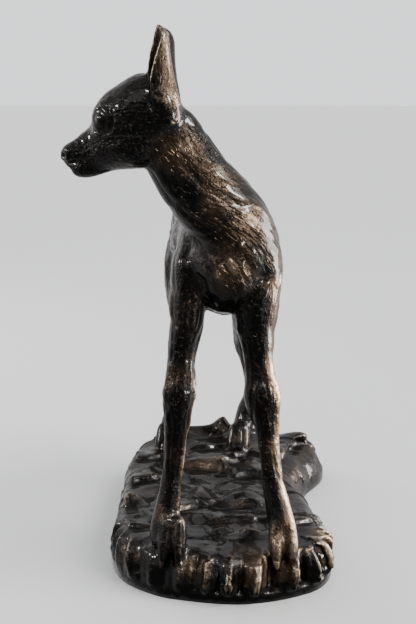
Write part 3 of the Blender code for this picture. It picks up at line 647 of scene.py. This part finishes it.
def set_points(mesh, points):
    mesh.vertices.foreach_set("co", points.ravel())
    mesh.update()


def edge_ends(mesh):
    return read(mesh.edges, "vertices", 2, int).T


def between_neighbours(points, ends):
    """For each point, the middle of the points that it shares an edge with."""
    a, b = ends
    count = np.bincount(np.concatenate([a, b]), minlength=len(points))
    total = np.zeros_like(points)
    for axis in range(3):
        total[:, axis] = np.bincount(a, points[b, axis], len(points))
        total[:, axis] += np.bincount(b, points[a, axis], len(points))
    return total / count[:, None]


def in_fawn_units(points):
    """Points above the ground, in the fawn's units."""
    return (points - (0, 0, GROUND_HEIGHT)) / UNIT


class Form:
    """Closed lofts that overlap and are later fused into one body."""

    def __init__(self):
        self.points = []
        self.faces = []

    def add_rings(self, rings):
        """A closed skin over rings of equal length, with a point in the middle of each end."""
        first = len(self.points)
        count = len(rings[0])
        for ring in rings:
            self.points.extend(ring)
        for row in range(len(rings) - 1):
            for i in range(count):
                a = first + row * count + i
                b = first + row * count + (i + 1) % count
                self.faces.append((a, b, b + count, a + count))
        for row, turned in ((0, True), (len(rings) - 1, False)):
            middle = len(self.points)
            self.points.append(np.mean(rings[row], axis=0))
            start = first + row * count
            for i in range(count):
                a, b = start + i, start + (i + 1) % count
                self.faces.append((middle, b, a) if turned else (middle, a, b))

    def mesh(self, name):
        mesh = bpy.data.meshes.new(name)
        mesh.from_pydata([tuple(map(float, p)) for p in self.points], [], self.faces)
        mesh.update()
        return mesh


def across(ways, turns):
    """The ways at length 1, and two directions square to each; the first lies towards its turn."""
    ways = ways / np.linalg.norm(ways, axis=1)[:, None]
    turns = np.radians(turns)
    sides = np.stack([np.cos(turns), np.sin(turns), 0 * turns], axis=1)
    sides -= ways * np.sum(ways * sides, axis=1)[:, None]
    sides /= np.linalg.norm(sides, axis=1)[:, None]
    return ways, sides, np.cross(sides, ways)


def limb_rings(stations, steps=CURVE_STEPS, way=None):
    """Elliptical rings in metres above the underside, square to `way` or to the line of stations."""
    rows = smooth_rows(stations, steps)
    centres = rows[:, :3] * UNIT + (0, 0, GROUND_HEIGHT)
    ways = np.gradient(centres, axis=0) if way is None else np.tile(way, (len(rows), 1))
    _, sides, overs = across(ways, rows[:, 5])
    angles = np.linspace(0, 2 * math.pi, RING_POINTS, endpoint=False)
    rings = []
    for centre, side, over, (width, depth) in zip(centres, sides, overs, rows[:, 3:5]):
        wide, deep = side * width, over * depth
        rings.append([centre + UNIT * (wide * math.cos(a) + deep * math.sin(a)) for a in angles])
    return rings


def heading(turn):
    """The way that something faces after a turn from -Y, in degrees about Z."""
    return np.array([math.sin(math.radians(turn)), -math.cos(math.radians(turn)), 0.0])


def head_point(forward, up, sideways=0.0):
    """A station of the head as x, y, z in the fawn's units above the ground."""
    aside = heading(NOSE_TURN + 90)
    return SKULL_PLACE + heading(NOSE_TURN) * forward + aside * sideways + (0, 0, up)


def head_stations(rows):
    return [(*head_point(f, u), width, depth, NOSE_TURN) for f, u, width, depth in rows]


def ball_stations(centre, radius):
    """Stations of a small ball, along Z."""
    x, y, z = centre
    stations = []
    for rise in np.radians(np.linspace(-BALL_TILT, BALL_TILT, BALL_RINGS)):
        wide = radius * math.cos(rise)
        stations.append((x, y, z + radius * math.sin(rise), wide, wide, 0))
    return stations


def claw_stations(hoof, side):
    """One claw of a hoof, which points along -Y turned by the hoof's own turn and its splay."""
    x, y, turn = hoof
    turn = math.radians(turn)
    splay = turn + math.radians(CLAW_SPLAY) * side
    x += math.cos(turn) * CLAW_SPREAD * side
    y += math.sin(turn) * CLAW_SPREAD * side
    return [
        (x + math.sin(splay) * f, y - math.cos(splay) * f, z, width, length, math.degrees(splay))
        for f, z, width, length in CLAW
    ]


def ear_object(side):
    """One cupped ear as an open leaf with a wall of its own; side is 1 for the left ear."""
    rows = smooth_rows(EAR, CURVE_STEPS)
    bends = np.linspace(-1, 1, EAR_POINTS)
    points = []
    for number, (forward, up, sideways, deep, wide, turn) in enumerate(rows):
        if side < 0:
            forward += FAR_EAR_FORWARD
        centre = head_point(forward, up, sideways * side)
        opening = heading(NOSE_TURN + turn * side)
        outward = heading(NOSE_TURN + turn * side + 90 * side)
        slant = EAR_SLANT * (number / (len(rows) - 1)) ** 3
        for bend in bends:
            angle = math.radians(EAR_WRAP * bend)
            point = centre - opening * deep * math.cos(angle) + outward * wide * math.sin(angle)
            point[2] -= slant * bend
            points.append(tuple(point * UNIT + (0, 0, GROUND_HEIGHT)))
    count = len(bends)
    faces = [
        (r * count + i, r * count + i + 1, (r + 1) * count + i + 1, (r + 1) * count + i)
        for r in range(len(rows) - 1)
        for i in range(count - 1)
    ]
    mesh = bpy.data.meshes.new("ear")
    mesh.from_pydata(points, [], faces)
    ear = placed("ear", mesh)
    wall = ear.modifiers.new("wall", "SOLIDIFY")
    wall.thickness = EAR_WALL
    wall.offset = 0
    return ear


def ground_top(plan):
    """Heights of the ground's top above its underside, at points of its plan."""
    half = np.array((GROUND_WIDTH, GROUND_LENGTH)) / 2
    spread = np.zeros((len(plan), 3))
    spread[:, :2] = plan / (LEDGE_PATCH * GROUND_HEIGHT)
    wander = LEDGE_WANDER * wandering(spread)
    height = np.ones(len(plan))
    for start, end, rise, back in LEDGES:
        start, end = half * start, half * end
        long = np.linalg.norm(end - start)
        way = (end - start) / long
        off = plan - start
        along = off @ way / long
        behind = off @ (-way[1], way[0]) / GROUND_HEIGHT + wander
        held = np.clip(np.minimum(along, 1 - along) / LEDGE_END + 0.5, 0, 1)
        face = np.clip(behind / LEDGE_FACE + 1, 0, 1)
        height += rise * held * face * np.exp(-((np.maximum(behind, 0) / back) ** 2))
    for rock_x, rock_y, long, wide, tall, turn in ROCKS:
        off = plan - half * (rock_x, rock_y)
        c, s = math.cos(math.radians(turn)), math.sin(math.radians(turn))
        along = off @ (c, s) / (long * GROUND_HEIGHT)
        aside = off @ (-s, c) / (wide * GROUND_HEIGHT)
        fall = np.abs(along) ** ROCK_POWERS[0] + np.abs(aside) ** ROCK_POWERS[1]
        height += tall * np.exp(-fall)
    return GROUND_HEIGHT * height


def waved(turn, waves):
    """The sum of waves round the ground, each given as its number and its height."""
    return sum(height * np.sin(number * turn + number) for number, height in waves)


def ground_rings():
    """Rings of the ground from its foot up the folded side and in over the top."""
    rows = smooth_rows(OUTLINE, OUTLINE_STEPS, closed=True)
    plan = rows[:, :2] * (GROUND_WIDTH / 2, GROUND_LENGTH / 2)
    ways = np.roll(plan, -1, axis=0) - np.roll(plan, 1, axis=0)
    inward = np.stack([-ways[:, 1], ways[:, 0]], axis=1)
    inward /= np.linalg.norm(inward, axis=1)[:, None]
    steps = np.linalg.norm(np.roll(plan, -1, axis=0) - plan, axis=1)
    turn = 2 * math.pi * (np.cumsum(steps) - steps[0]) / np.sum(steps)
    phase = FOLDS * turn + 2 * math.pi * waved(turn, FOLD_WANDER)
    lean = 2 * math.pi * waved(turn, FOLD_LEANS)
    inset, fold = rows[:, 2] * GROUND_HEIGHT, rows[:, 3] * GROUND_HEIGHT
    patch = np.zeros((len(plan), 3))
    patch[:, 0] = turn * LATTICE / (2 * math.pi)
    rings = []
    for z in (-BELOW_FOOT, 0.0, FOOT_BAND):
        rings.append([(x, y, z) for x, y in plan])
    for row in range(1, WALL_ROWS + 1):
        up = row / WALL_ROWS
        leant = phase + lean * up
        ridge = 2 * (0.5 + 0.5 * np.cos(leant)) ** FOLD_SHARP - 1
        ridge += RIPPLE_SHARE * np.cos(RIPPLES * leant)
        patch[:, 1] = up * PATCH_ROWS
        deep = fold * (1 + FOLD_PATCHES * wandering(patch))
        out = deep * math.sin(math.pi * np.interp(up, (0, 1), FOLD_RUN)) * ridge
        moved = plan + inward * (inset * up**WALL_BULGE - out)[:, None]
        height = FOOT_BAND + (GROUND_HEIGHT - FOOT_BAND) * math.sin(up * math.pi / 2)
        rings.append([(x, y, height) for x, y in moved])
    edge = np.array(rings[-1])[:, :2]
    for row in range(1, TOP_ROWS):
        inner = edge * (1 - row / TOP_ROWS)
        rings.append(np.column_stack([inner, ground_top(inner)]))
    return rings


def fused(parts):
    """One mesh over all the parts, remade as an even skin that joins them."""
    bpy.ops.object.select_all(action="DESELECT")
    for part in parts:
        part.select_set(True)
    bpy.context.view_layer.objects.active = parts[0]
    bpy.ops.object.join()
    whole = parts[0]
    skin = whole.modifiers.new("skin", "REMESH")
    skin.mode = "VOXEL"
    skin.voxel_size = VOXEL
    mesh = worked_out(whole)
    bpy.data.objects.remove(whole)
    return mesh


def relax(mesh, steps):
    """Softens the joins, as a modeller's thumb does, by moving each point towards its neighbours."""
    points = points_of(mesh)
    ends = edge_ends(mesh)
    heights = points[:, 2] / GROUND_HEIGHT
    give = np.interp(heights, JOIN_HEIGHTS, (CRISP_JOINS, SOFT_JOINS))[:, None]
    for _ in range(steps):
        points += give * (between_neighbours(points, ends) - points)
    set_points(mesh, points)


def off_line(points, start, end):
    """Distance of each point from the line between two points."""
    start, end = np.array(start, float), np.array(end, float)
    along = end - start
    share = np.clip((points - start) @ along / (along @ along), 0, 1)
    return np.linalg.norm(points - start - share[:, None] * along, axis=1)


def touched(points, where, radius, push):
    return push * np.exp(-np.sum((points - where) ** 2, axis=1) / radius**2)


def along_part(own, stations):
    """Each point's place in a part laid straight, and how far out it is, 1 at the part's surface."""
    rows = smooth_rows(stations, CURVE_STEPS)
    centres = rows[:, :3]
    ways, sides, overs = across(np.gradient(centres, axis=0), rows[:, 5])
    steps = np.linalg.norm(np.diff(centres, axis=0), axis=1)
    length = np.concatenate([[0], np.cumsum(steps)])
    away = np.array([np.sum((own - centre) ** 2, axis=1) for centre in centres])
    nearest = away.min(axis=0)
    place = np.zeros((len(own), 3))
    size = np.zeros((len(own), 2))
    total = np.zeros(len(own))
    for row, centre in enumerate(centres):
        share = np.exp((nearest - away[row]) / BLEND_REACH**2)
        off = own - centre
        local = np.stack([off @ sides[row], off @ overs[row], length[row] + off @ ways[row]], axis=1)
        place += share[:, None] * local
        size += share[:, None] * rows[row, 3:5]
        total += share
    place /= total[:, None]
    size /= total[:, None]
    reach = np.sqrt(np.sum((place[:, :2] / size) ** 2, axis=1))
    beyond = np.maximum(0, np.maximum(-place[:, 2], place[:, 2] - length[-1]))
    return place, reach + beyond / size[:, 0]


def facets(points):
    """How far flat facets of broken rock stand out, in shares of a facet's size."""
    block = np.random.default_rng(SEED).uniform(-0.5, 0.5, (LATTICE, LATTICE, LATTICE, 3))
    cell = np.floor(points).astype(int)
    nearest = np.full(len(points), np.inf)
    out = np.zeros(len(points))
    for step in product((-1, 0, 1), repeat=3):
        corner = cell + step
        slant = drawn(block, corner)
        off = points - (corner + 0.5 + slant)
        away = np.sum(off**2, axis=1)
        closer = away < nearest
        nearest[closer] = away[closer]
        out[closer] = (2 * np.sum(off * slant[:, ::-1], axis=1) + slant[:, 0])[closer]
    return out


def rock_relief(points, own):
    """How far the ground's facets and lumps stand out, clear of the legs."""
    share = np.clip((ROCK_END - points[:, 2] / GROUND_HEIGHT) / ROCK_FADE, 0, 1)
    share *= np.clip((points[:, 2] - FOOT_BAND) / FOOT_BAND, 0, 1)
    for x, y, turn in HOOVES:
        off = np.linalg.norm(own[:, :2] - (x, y), axis=1)
        share *= np.clip((off - FOOT_CLEAR) / FOOT_FADE, 0, 1)
    in_heights = points / GROUND_HEIGHT
    relief = FACET_RELIEF * facets(in_heights / FACET_SIZES)
    for size, rise in LUMP_SIZES:
        relief += rise * wandering(in_heights / size + LUMPS_FROM)
    return share * relief * GROUND_HEIGHT / UNIT


def scattered(points):
    """Distance from each point to the nearest of many scattered seeds, about one unit apart."""
    block = np.random.default_rng(SEED + 1).uniform(0, 1, (LATTICE, LATTICE, LATTICE, 3))
    cell = np.floor(points).astype(int)
    nearest = np.full(len(points), np.inf)
    for step in product((-1, 0, 1), repeat=3):
        corner = cell + step
        away = np.sum((points - (corner + drawn(block, corner))) ** 2, axis=1)
        nearest = np.minimum(nearest, away)
    return np.sqrt(nearest)


def coats(own):
    """For each part with a coat: the points it reaches, their places and shares in it, coat and seed."""
    parts = [(TRUNK, TRUNK_COAT), (NECK, NECK_COAT)]
    parts += [(leg, LEG_COAT) for leg in LEGS]
    parts += [(head_stations(CRANIUM), SKULL_COAT), (head_stations(MUZZLE), MUZZLE_COAT)]
    for (stations, coat), seed in zip(parts, COAT_SEEDS):
        rows = np.array(stations, float)
        margin = COAT_MARGIN * rows[:, 3:5].max()
        inside = (own > rows[:, :3].min(axis=0) - margin) & (own < rows[:, :3].max(axis=0) + margin)
        near = np.flatnonzero(inside.all(axis=1))
        place, reach = along_part(own[near], stations)
        mine = np.exp(-(((reach - 1) / HAIR_REACH) ** 2))
        yield near, place, mine, coat, seed


def hair(own):
    """How far the locks and the strokes that break them up push the surface out."""
    total = np.zeros(len(own))
    weight = np.zeros(len(own))
    for near, place, mine, (locks, strokes, length), seed in coats(own):
        stretched = place / (LOCK_WIDTH, LOCK_WIDTH, LOCK_LENGTH) + seed
        swell = wandering(stretched)
        line = np.exp(-((wandering(stretched + LATTICE / 2) / FURROW_WIDTH) ** 2))
        bent = place + STROKE_WAVE * wandering(place / STROKE_LENGTH)[:, None] * (1, 1, 0)
        stroke = STROKE_LEVEL - scattered(bent / (STROKE_WIDTH, STROKE_WIDTH, length) + seed)
        uneven = 1 + COAT_UNEVEN * wandering(place / COAT_PATCH + seed)
        out = locks * (LOCK_SWELL * swell - LOCK_FURROW * line)
        out += uneven * strokes * STROKE_RISE * stroke
        total[near] += mine * out
        weight[near] += mine
    return total / np.maximum(weight, 1)


def eye_place(side):
    forward, up, sideways = EYE
    return head_point(forward, up, sideways * side)


def clear_of_eyes(own):
    """0 on the eyes, 1 clear of them."""
    share = np.ones(len(own))
    for side in (1, -1):
        off_eye = np.linalg.norm(own - eye_place(side), axis=1)
        share *= np.clip((off_eye - EYE_BARE) / EYE_FADE, 0, 1)
    return share


def furrowed(points, start, end, width, depth):
    """How far a furrow or band between two points stands out."""
    return depth * np.exp(-((off_line(points, start, end) / width) ** 2))


def carve(mesh):
    """Presses the muscles, the face, the coat and the broken rock into the skin."""
    points = points_of(mesh)
    own = in_fawn_units(points)
    push = np.zeros(len(points))
    for *where, radius, out in BODY_TOUCHES:
        push += touched(own, where, radius, out)
    for furrow in BODY_FURROWS:
        push -= furrowed(own, *furrow)
    for side in (1, -1):
        for forward, up, sideways, radius, out in HEAD_TOUCHES:
            push += touched(own, head_point(forward, up, sideways * side), radius, out)
        for start, end, width, depth in HEAD_FURROWS:
            start, end = (head_point(f, u, s * side) for f, u, s in (start, end))
            push -= furrowed(own, start, end, width, depth)
        off_eye = np.linalg.norm(own - eye_place(side), axis=1)
        for ring, width, out in EYE_RINGS:
            push += out * np.exp(-(((off_eye - ring) / width) ** 2))
    push += clear_of_eyes(own) * np.interp(own[:, 2], HAIR_HEIGHTS, (0, 1)) * hair(own)
    push += rock_relief(points, own)
    set_points(mesh, points + normals_of(mesh) * push[:, None] * UNIT)


def lightened(mesh):
    """The same skin with fewer, larger triangles, cut off flat at the underside."""
    whole = placed("whole", mesh)
    fewer = whole.modifiers.new("fewer", "DECIMATE")
    fewer.ratio = TRIANGLES / (2 * len(mesh.polygons))
    fewer.use_collapse_triangulate = True
    light = worked_out(whole)
    bpy.data.objects.remove(whole)
    body = bmesh.new()
    body.from_mesh(light)
    everything = body.verts[:] + body.edges[:] + body.faces[:]
    cut = bmesh.ops.bisect_plane(
        body, geom=everything, plane_co=(0, 0, 0), plane_no=(0, 0, -1), clear_outer=True
    )
    rim = [edge for edge in cut["geom_cut"] if isinstance(edge, bmesh.types.BMEdge)]
    bmesh.ops.triangle_fill(body, use_beauty=True, edges=rim, normal=(0, 0, -1))
    bmesh.ops.triangulate(body, faces=body.faces)
    body.to_mesh(light)
    body.free()
    return light


def casting(low, high):
    """The whole casting with its fine relief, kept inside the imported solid's box."""
    form = Form()
    for stations in (TRUNK, NECK, *LEGS, TAIL):
        form.add_rings(limb_rings(stations, steps=RING_STEPS))
    for stations in (CRANIUM, MUZZLE, CHIN):
        rings = limb_rings(head_stations(stations), steps=RING_STEPS, way=heading(NOSE_TURN))
        form.add_rings(rings)
    for side in (1, -1):
        form.add_rings(limb_rings(ball_stations(eye_place(side), EYE_RADIUS / UNIT)))
        forward, up, sideways = EAR_ROOT
        root = head_point(forward, up, sideways * side)
        form.add_rings(limb_rings(ball_stations(root, EAR_ROOT_RADIUS)))
    for hoof in HOOVES:
        for side in (1, -1):
            form.add_rings(limb_rings(claw_stations(hoof, side)))
    form.add_rings(ground_rings())

    body = placed("body", form.mesh("body"))
    ears = [ear_object(side) for side in (1, -1)]
    for ear in ears:
        ear.data = worked_out(ear)
        ear.modifiers.clear()
    mesh = fused([body, *ears])
    relax(mesh, RELAX_STEPS)
    carve(mesh)
    relax(mesh, FINAL_STEPS)
    mesh = lightened(mesh)
    mesh.name = "fawn_casting"
    points = np.clip(points_of(mesh), low, high)
    set_points(mesh, points)
    mesh.shade_smooth()
    note_ridges(mesh, points)
    note_rubbing_and_highlights(mesh, points)
    note_coat(mesh, points)
    return placed("fawn_casting", mesh)


def note(mesh, name, values):
    """Keeps a value or a place for each point of the mesh, for the patina to read."""
    kind, field = ("FLOAT_VECTOR", "vector") if values.ndim > 1 else ("FLOAT", "value")
    attribute = mesh.attributes.new(name, kind, "POINT")
    attribute.data.foreach_set(field, values.astype(np.float32).ravel())


def note_ridges(mesh, points):
    """How far each point stands out of the surface round it, from -1 in a hollow to 1 on a ridge."""
    ends = edge_ends(mesh)
    normals = normals_of(mesh)
    level = points.copy()
    done = 0
    for name, steps, height in RIDGE_SCALES:
        for _ in range(steps - done):
            level = 0.5 * level + 0.5 * between_neighbours(level, ends)
        done = steps
        out = np.sum((points - level) * normals, axis=1) / height
        note(mesh, name, np.clip(out, -1, 1))


def note_rubbing_and_highlights(mesh, points):
    """How much each place has been rubbed by hand, and where it is lightened as a painted highlight: 1
    in full, below 0 where it is kept dark.
    """
    own = in_fawn_units(points)
    total = np.zeros(len(own))
    for *where, radius, share in RUBBED_AND_HIGHLIGHT_PLACES:
        total += touched(own, where, radius, share)
    for edge in RUBBED_AND_HIGHLIGHT_EDGES:
        total += furrowed(own, *edge)
    total -= FOOT_DARK * np.clip(2 - points[:, 2] / FOOT_BAND, 0, 1)
    note(mesh, "rubbed_and_highlit", np.clip(total, -1, 1))


def note_coat(mesh, points):
    """Each point's place along its own part of the body, and how much coat it has."""
    own = in_fawn_units(points)
    best = np.full(len(own), COAT_LEAST)
    second = np.zeros(len(own))
    places = np.zeros((len(own), 3))
    amounts = np.zeros(len(own))
    for near, place, mine, (_, strokes, length), seed in coats(own):
        wins = mine > best[near]
        second[near] = np.where(wins, best[near], np.maximum(second[near], mine))
        winners = near[wins]
        best[winners] = mine[wins]
        shorter = (1, 1, STROKE_LENGTH / length)
        places[winners] = place[wins] * shorter + COAT_APART * seed
        amounts[winners] = strokes * (1 + COAT_UNEVEN * wandering(place[wins] / COAT_PATCH))
    trust = np.clip(COAT_TRUST * (best - second) / best, 0, 1)
    on_ear = own[:, 2] > EAR_FROM
    places[on_ear] = own[on_ear]
    amounts[on_ear] = EAR_COAT
    trust[on_ear] = 1
    on_body = np.interp(own[:, 2], COAT_HEIGHTS, (0, 1))
    off_eyes = clear_of_eyes(own)
    note(mesh, "coat_place", places)
    note(mesh, "coat", trust * amounts * on_body * off_eyes)
    note(mesh, "off_eyes", off_eyes)


class Wire:
    """The output of a node. Arithmetic on wires adds the Math nodes for it."""

    def __init__(self, finish, socket):
        self.finish = finish
        self.socket = socket

    def math(self, operation, *values):
        return self.finish.node("ShaderNodeMath", {"operation": operation}, values)

    def __add__(self, other):
        return self.math("ADD", self, other)

    __radd__ = __add__

    def __sub__(self, other):
        return self.math("SUBTRACT", self, other)

    def __rsub__(self, other):
        return self.math("SUBTRACT", other, self)

    def __mul__(self, other):
        return self.math("MULTIPLY", self, other)

    __rmul__ = __mul__

    def between(self, low, high):
        """0 below `low`, 1 above `high`, and an even rise from one to the other."""
        settings = {"clamp": True}
        return self.finish.node("ShaderNodeMapRange", settings, (self, low, high, 0.0, 1.0))


class Finish:
    """A material or world whose nodes are added through one method."""

    def __init__(self, tree):
        self.tree = tree

    def feed(self, socket, value):
        if isinstance(value, Wire):
            self.tree.links.new(value.socket, socket)
        else:
            socket.default_value = value

    def node(self, kind, settings=None, values=(), output=0):
        """Adds a node: its settings first, then its inputs by number or by name."""
        node = self.tree.nodes.new(kind)
        for name, value in (settings or {}).items():
            setattr(node, name, value)
        named = values.items() if isinstance(values, dict) else enumerate(values)
        for key, value in named:
            self.feed(node.inputs[key], value)
        return Wire(self, node.outputs[output])

    def attribute(self, name, output="Fac"):
        return self.node("ShaderNodeAttribute", {"attribute_name": name}, output=output)

    def noise(self, place, size, detail=3.0, roughness=0.55):
        values = {"Vector": place, "Scale": 1 / size, "Detail": detail, "Roughness": roughness}
        return self.node("ShaderNodeTexNoise", {}, values)

    def stretched(self, place, sizes):
        """Places measured in lengths of their own along each direction."""
        shares = tuple(1 / size for size in sizes)
        return self.node("ShaderNodeVectorMath", {"operation": "MULTIPLY"}, (place, shares))

    def mixed(self, share, first, second):
        """A colour between two colours, each a wire or three values."""
        ends = [end if isinstance(end, Wire) else (*end, 1) for end in (first, second)]
        values = {"Factor": share, 6: ends[0], 7: ends[1]}
        return self.node("ShaderNodeMix", {"data_type": "RGBA"}, values, output=2)


def patina():
    """Near-black bronze under gloss, rubbed to a warm brown where hands reach it, and lightened to brown
    and bare bronze as painted highlights at some places.
    """
    material = bpy.data.materials.new("dark_bronze_patina")
    material.use_nodes = True
    finish = Finish(material.node_tree)
    shader = material.node_tree.nodes["Principled BSDF"]
    place = finish.node("ShaderNodeTexCoord", output="Object")
    ridge = finish.attribute("ridge")
    fine_ridge = finish.attribute("fine_ridge")
    coat = finish.attribute("coat")
    coat_place = finish.attribute("coat_place", "Vector")
    rubbed_and_highlit = finish.attribute("rubbed_and_highlit")
    off_eyes = finish.attribute("off_eyes")

    patches = finish.noise(place, PATCH_SIZE, 2.0) - 0.5
    specks = finish.noise(place, SPECK_SIZE, 3.0, 0.6) - 0.5
    # Each number below is how much the value after it counts for.
    height = 0.25 * ridge + 0.45 * fine_ridge + 0.7 * specks + 0.5 * patches
    # Bare bronze and warm brown come up where the patina is rubbed, and also at the painted highlights.
    worn_and_highlit = (height + rubbed_and_highlit).between(WORN_AND_HIGHLIT_FROM, WORN_AND_HIGHLIT_TO)
    warm = (rubbed_and_highlit + 0.9 * patches + 0.3 * specks).between(WARM_FROM, WARM_TO)
    hollow = (-1 * fine_ridge - 0.2).between(0.0, 1.0)
    colour = finish.mixed(warm, BLACK_PATINA, BROWN_PATINA)
    colour = finish.mixed(worn_and_highlit, colour, RUBBED_AND_HIGHLIGHT_BRONZE)
    colour = finish.mixed(hollow * 0.8, colour, HOLLOW_BLACK)
    finish.feed(shader.inputs["Base Color"], colour)

    up = finish.node("ShaderNodeSeparateXYZ", {}, (place,), output="Z")
    on_ground = (up * (-1 / GROUND_HEIGHT)).between(*GROUND_FADE)
    dull = 0.10 * warm + 0.16 * hollow + 0.06 * on_ground + 0.14 * specks
    finish.feed(shader.inputs["Roughness"], GLOSS - 0.04 * worn_and_highlit + dull)
    shader.inputs["Metallic"].default_value = METAL
    shader.inputs["Specular Tint"].default_value = (*EDGE_TINT, 1)
    shader.inputs["Coat Weight"].default_value = LACQUER
    shader.inputs["Coat Roughness"].default_value = LACQUER_ROUGHNESS

    strokes = finish.node(
        "ShaderNodeTexVoronoi",
        {"feature": "SMOOTH_F1"},
        {"Vector": finish.stretched(coat_place, BRUSHED_SIZES), "Scale": 1.0, "Smoothness": 0.35},
    )
    flecks = finish.noise(finish.stretched(coat_place, FLECK_SIZES), 1.0, 1.0)
    pits = finish.noise(place, PIT_SIZE, 2.0, 0.5)
    dents = finish.noise(place, DENT_SIZE, 2.0, 0.5)
    relief = STROKE_DEPTH * coat * (0.5 - strokes)
    relief += FLECK_DEPTH * flecks.between(FLECK_FROM, FLECK_TO)
    relief += off_eyes * (PIT_DEPTH * pits + DENT_DEPTH * dents)
    values = {"Strength": 1.0, "Distance": 1.0, "Height": relief}
    finish.feed(shader.inputs["Normal"], finish.node("ShaderNodeBump", {}, values))
    return material


def plain_floor():
    """A wide pale floor under the statue."""
    mesh = bpy.data.meshes.new("floor")
    half = FLOOR_WIDTH / 2
    corners = [(-half, -half, 0), (half, -half, 0), (half, half, 0), (-half, half, 0)]
    mesh.from_pydata(corners, [], [(0, 1, 2, 3)])
    floor = placed("floor", mesh)
    material = bpy.data.materials.new("pale_floor")
    material.use_nodes = True
    shader = material.node_tree.nodes["Principled BSDF"]
    shader.inputs["Base Color"].default_value = (*FLOOR_COLOUR, 1)
    shader.inputs["Roughness"].default_value = FLOOR_ROUGHNESS
    shader.inputs["Specular IOR Level"].default_value = 0.0
    mesh.materials.append(material)
    floor.visible_glossy = False


def soft_sun():
    """Even light from high up, to the right and behind."""
    data = bpy.data.lights.new("high_light", "SUN")
    data.energy = SUN_STRENGTH
    data.angle = math.radians(SUN_ANGLE)
    lamp = placed("high_light", data)
    lamp.rotation_euler = (-Vector(SUN_PLACE)).to_track_quat("-Z", "Y").to_euler()


def soft_light(name, place, size, watts, gloss_only):
    """A square soft box that points at the statue, or one that only shows as a gleam on it."""
    data = bpy.data.lights.new(name, "AREA")
    data.size = size
    data.energy = watts
    lamp = placed(name, data)
    lamp.location = place
    lamp.rotation_euler = (Vector(STATUE_MIDDLE) - Vector(place)).to_track_quat("-Z", "Y").to_euler()
    lamp.visible_diffuse = not gloss_only


def studio():
    """A pale dome that is brighter behind the statue, and soft boxes round it."""
    world = bpy.data.worlds.new("studio")
    bpy.context.scene.world = world
    world.use_nodes = True
    finish = Finish(world.node_tree)
    way = finish.node("ShaderNodeTexCoord", output="Generated")
    back = finish.node("ShaderNodeSeparateXYZ", {}, (way,), output="Y")
    colour = finish.mixed(back.between(DOME_FROM, DOME_TO), DOME_FRONT, DOME_BACK)
    background = world.node_tree.nodes["Background"]
    finish.feed(background.inputs["Color"], colour)
    background.inputs["Strength"].default_value = 1.0
    soft_sun()
    for light in SOFT_LIGHTS:
        soft_light(*light)


def camera():
    """The photograph's camera: level across, and tipped down a little."""
    data = bpy.data.cameras.new("camera")
    data.sensor_fit = "VERTICAL"
    data.sensor_height = FILM_HEIGHT
    data.lens = FILM_HEIGHT * CAMERA_FOCAL_PIXELS / PICTURE_HEIGHT
    eye = placed("camera", data)
    eye.location = CAMERA_PLACE
    eye.rotation_euler = (math.radians(90 - CAMERA_TIP), 0, 0)
    bpy.context.scene.camera = eye


def main():
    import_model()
    packed_low, packed_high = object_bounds()
    low, high = np.array(packed_low), np.array(packed_high)
    fawn = casting(low, high)
    fawn.data.materials.clear()
    fawn.data.materials.append(patina())
    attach(fawn, "root")
    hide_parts("fawn_on_ground")
    plain_floor()
    studio()
    camera()


main()
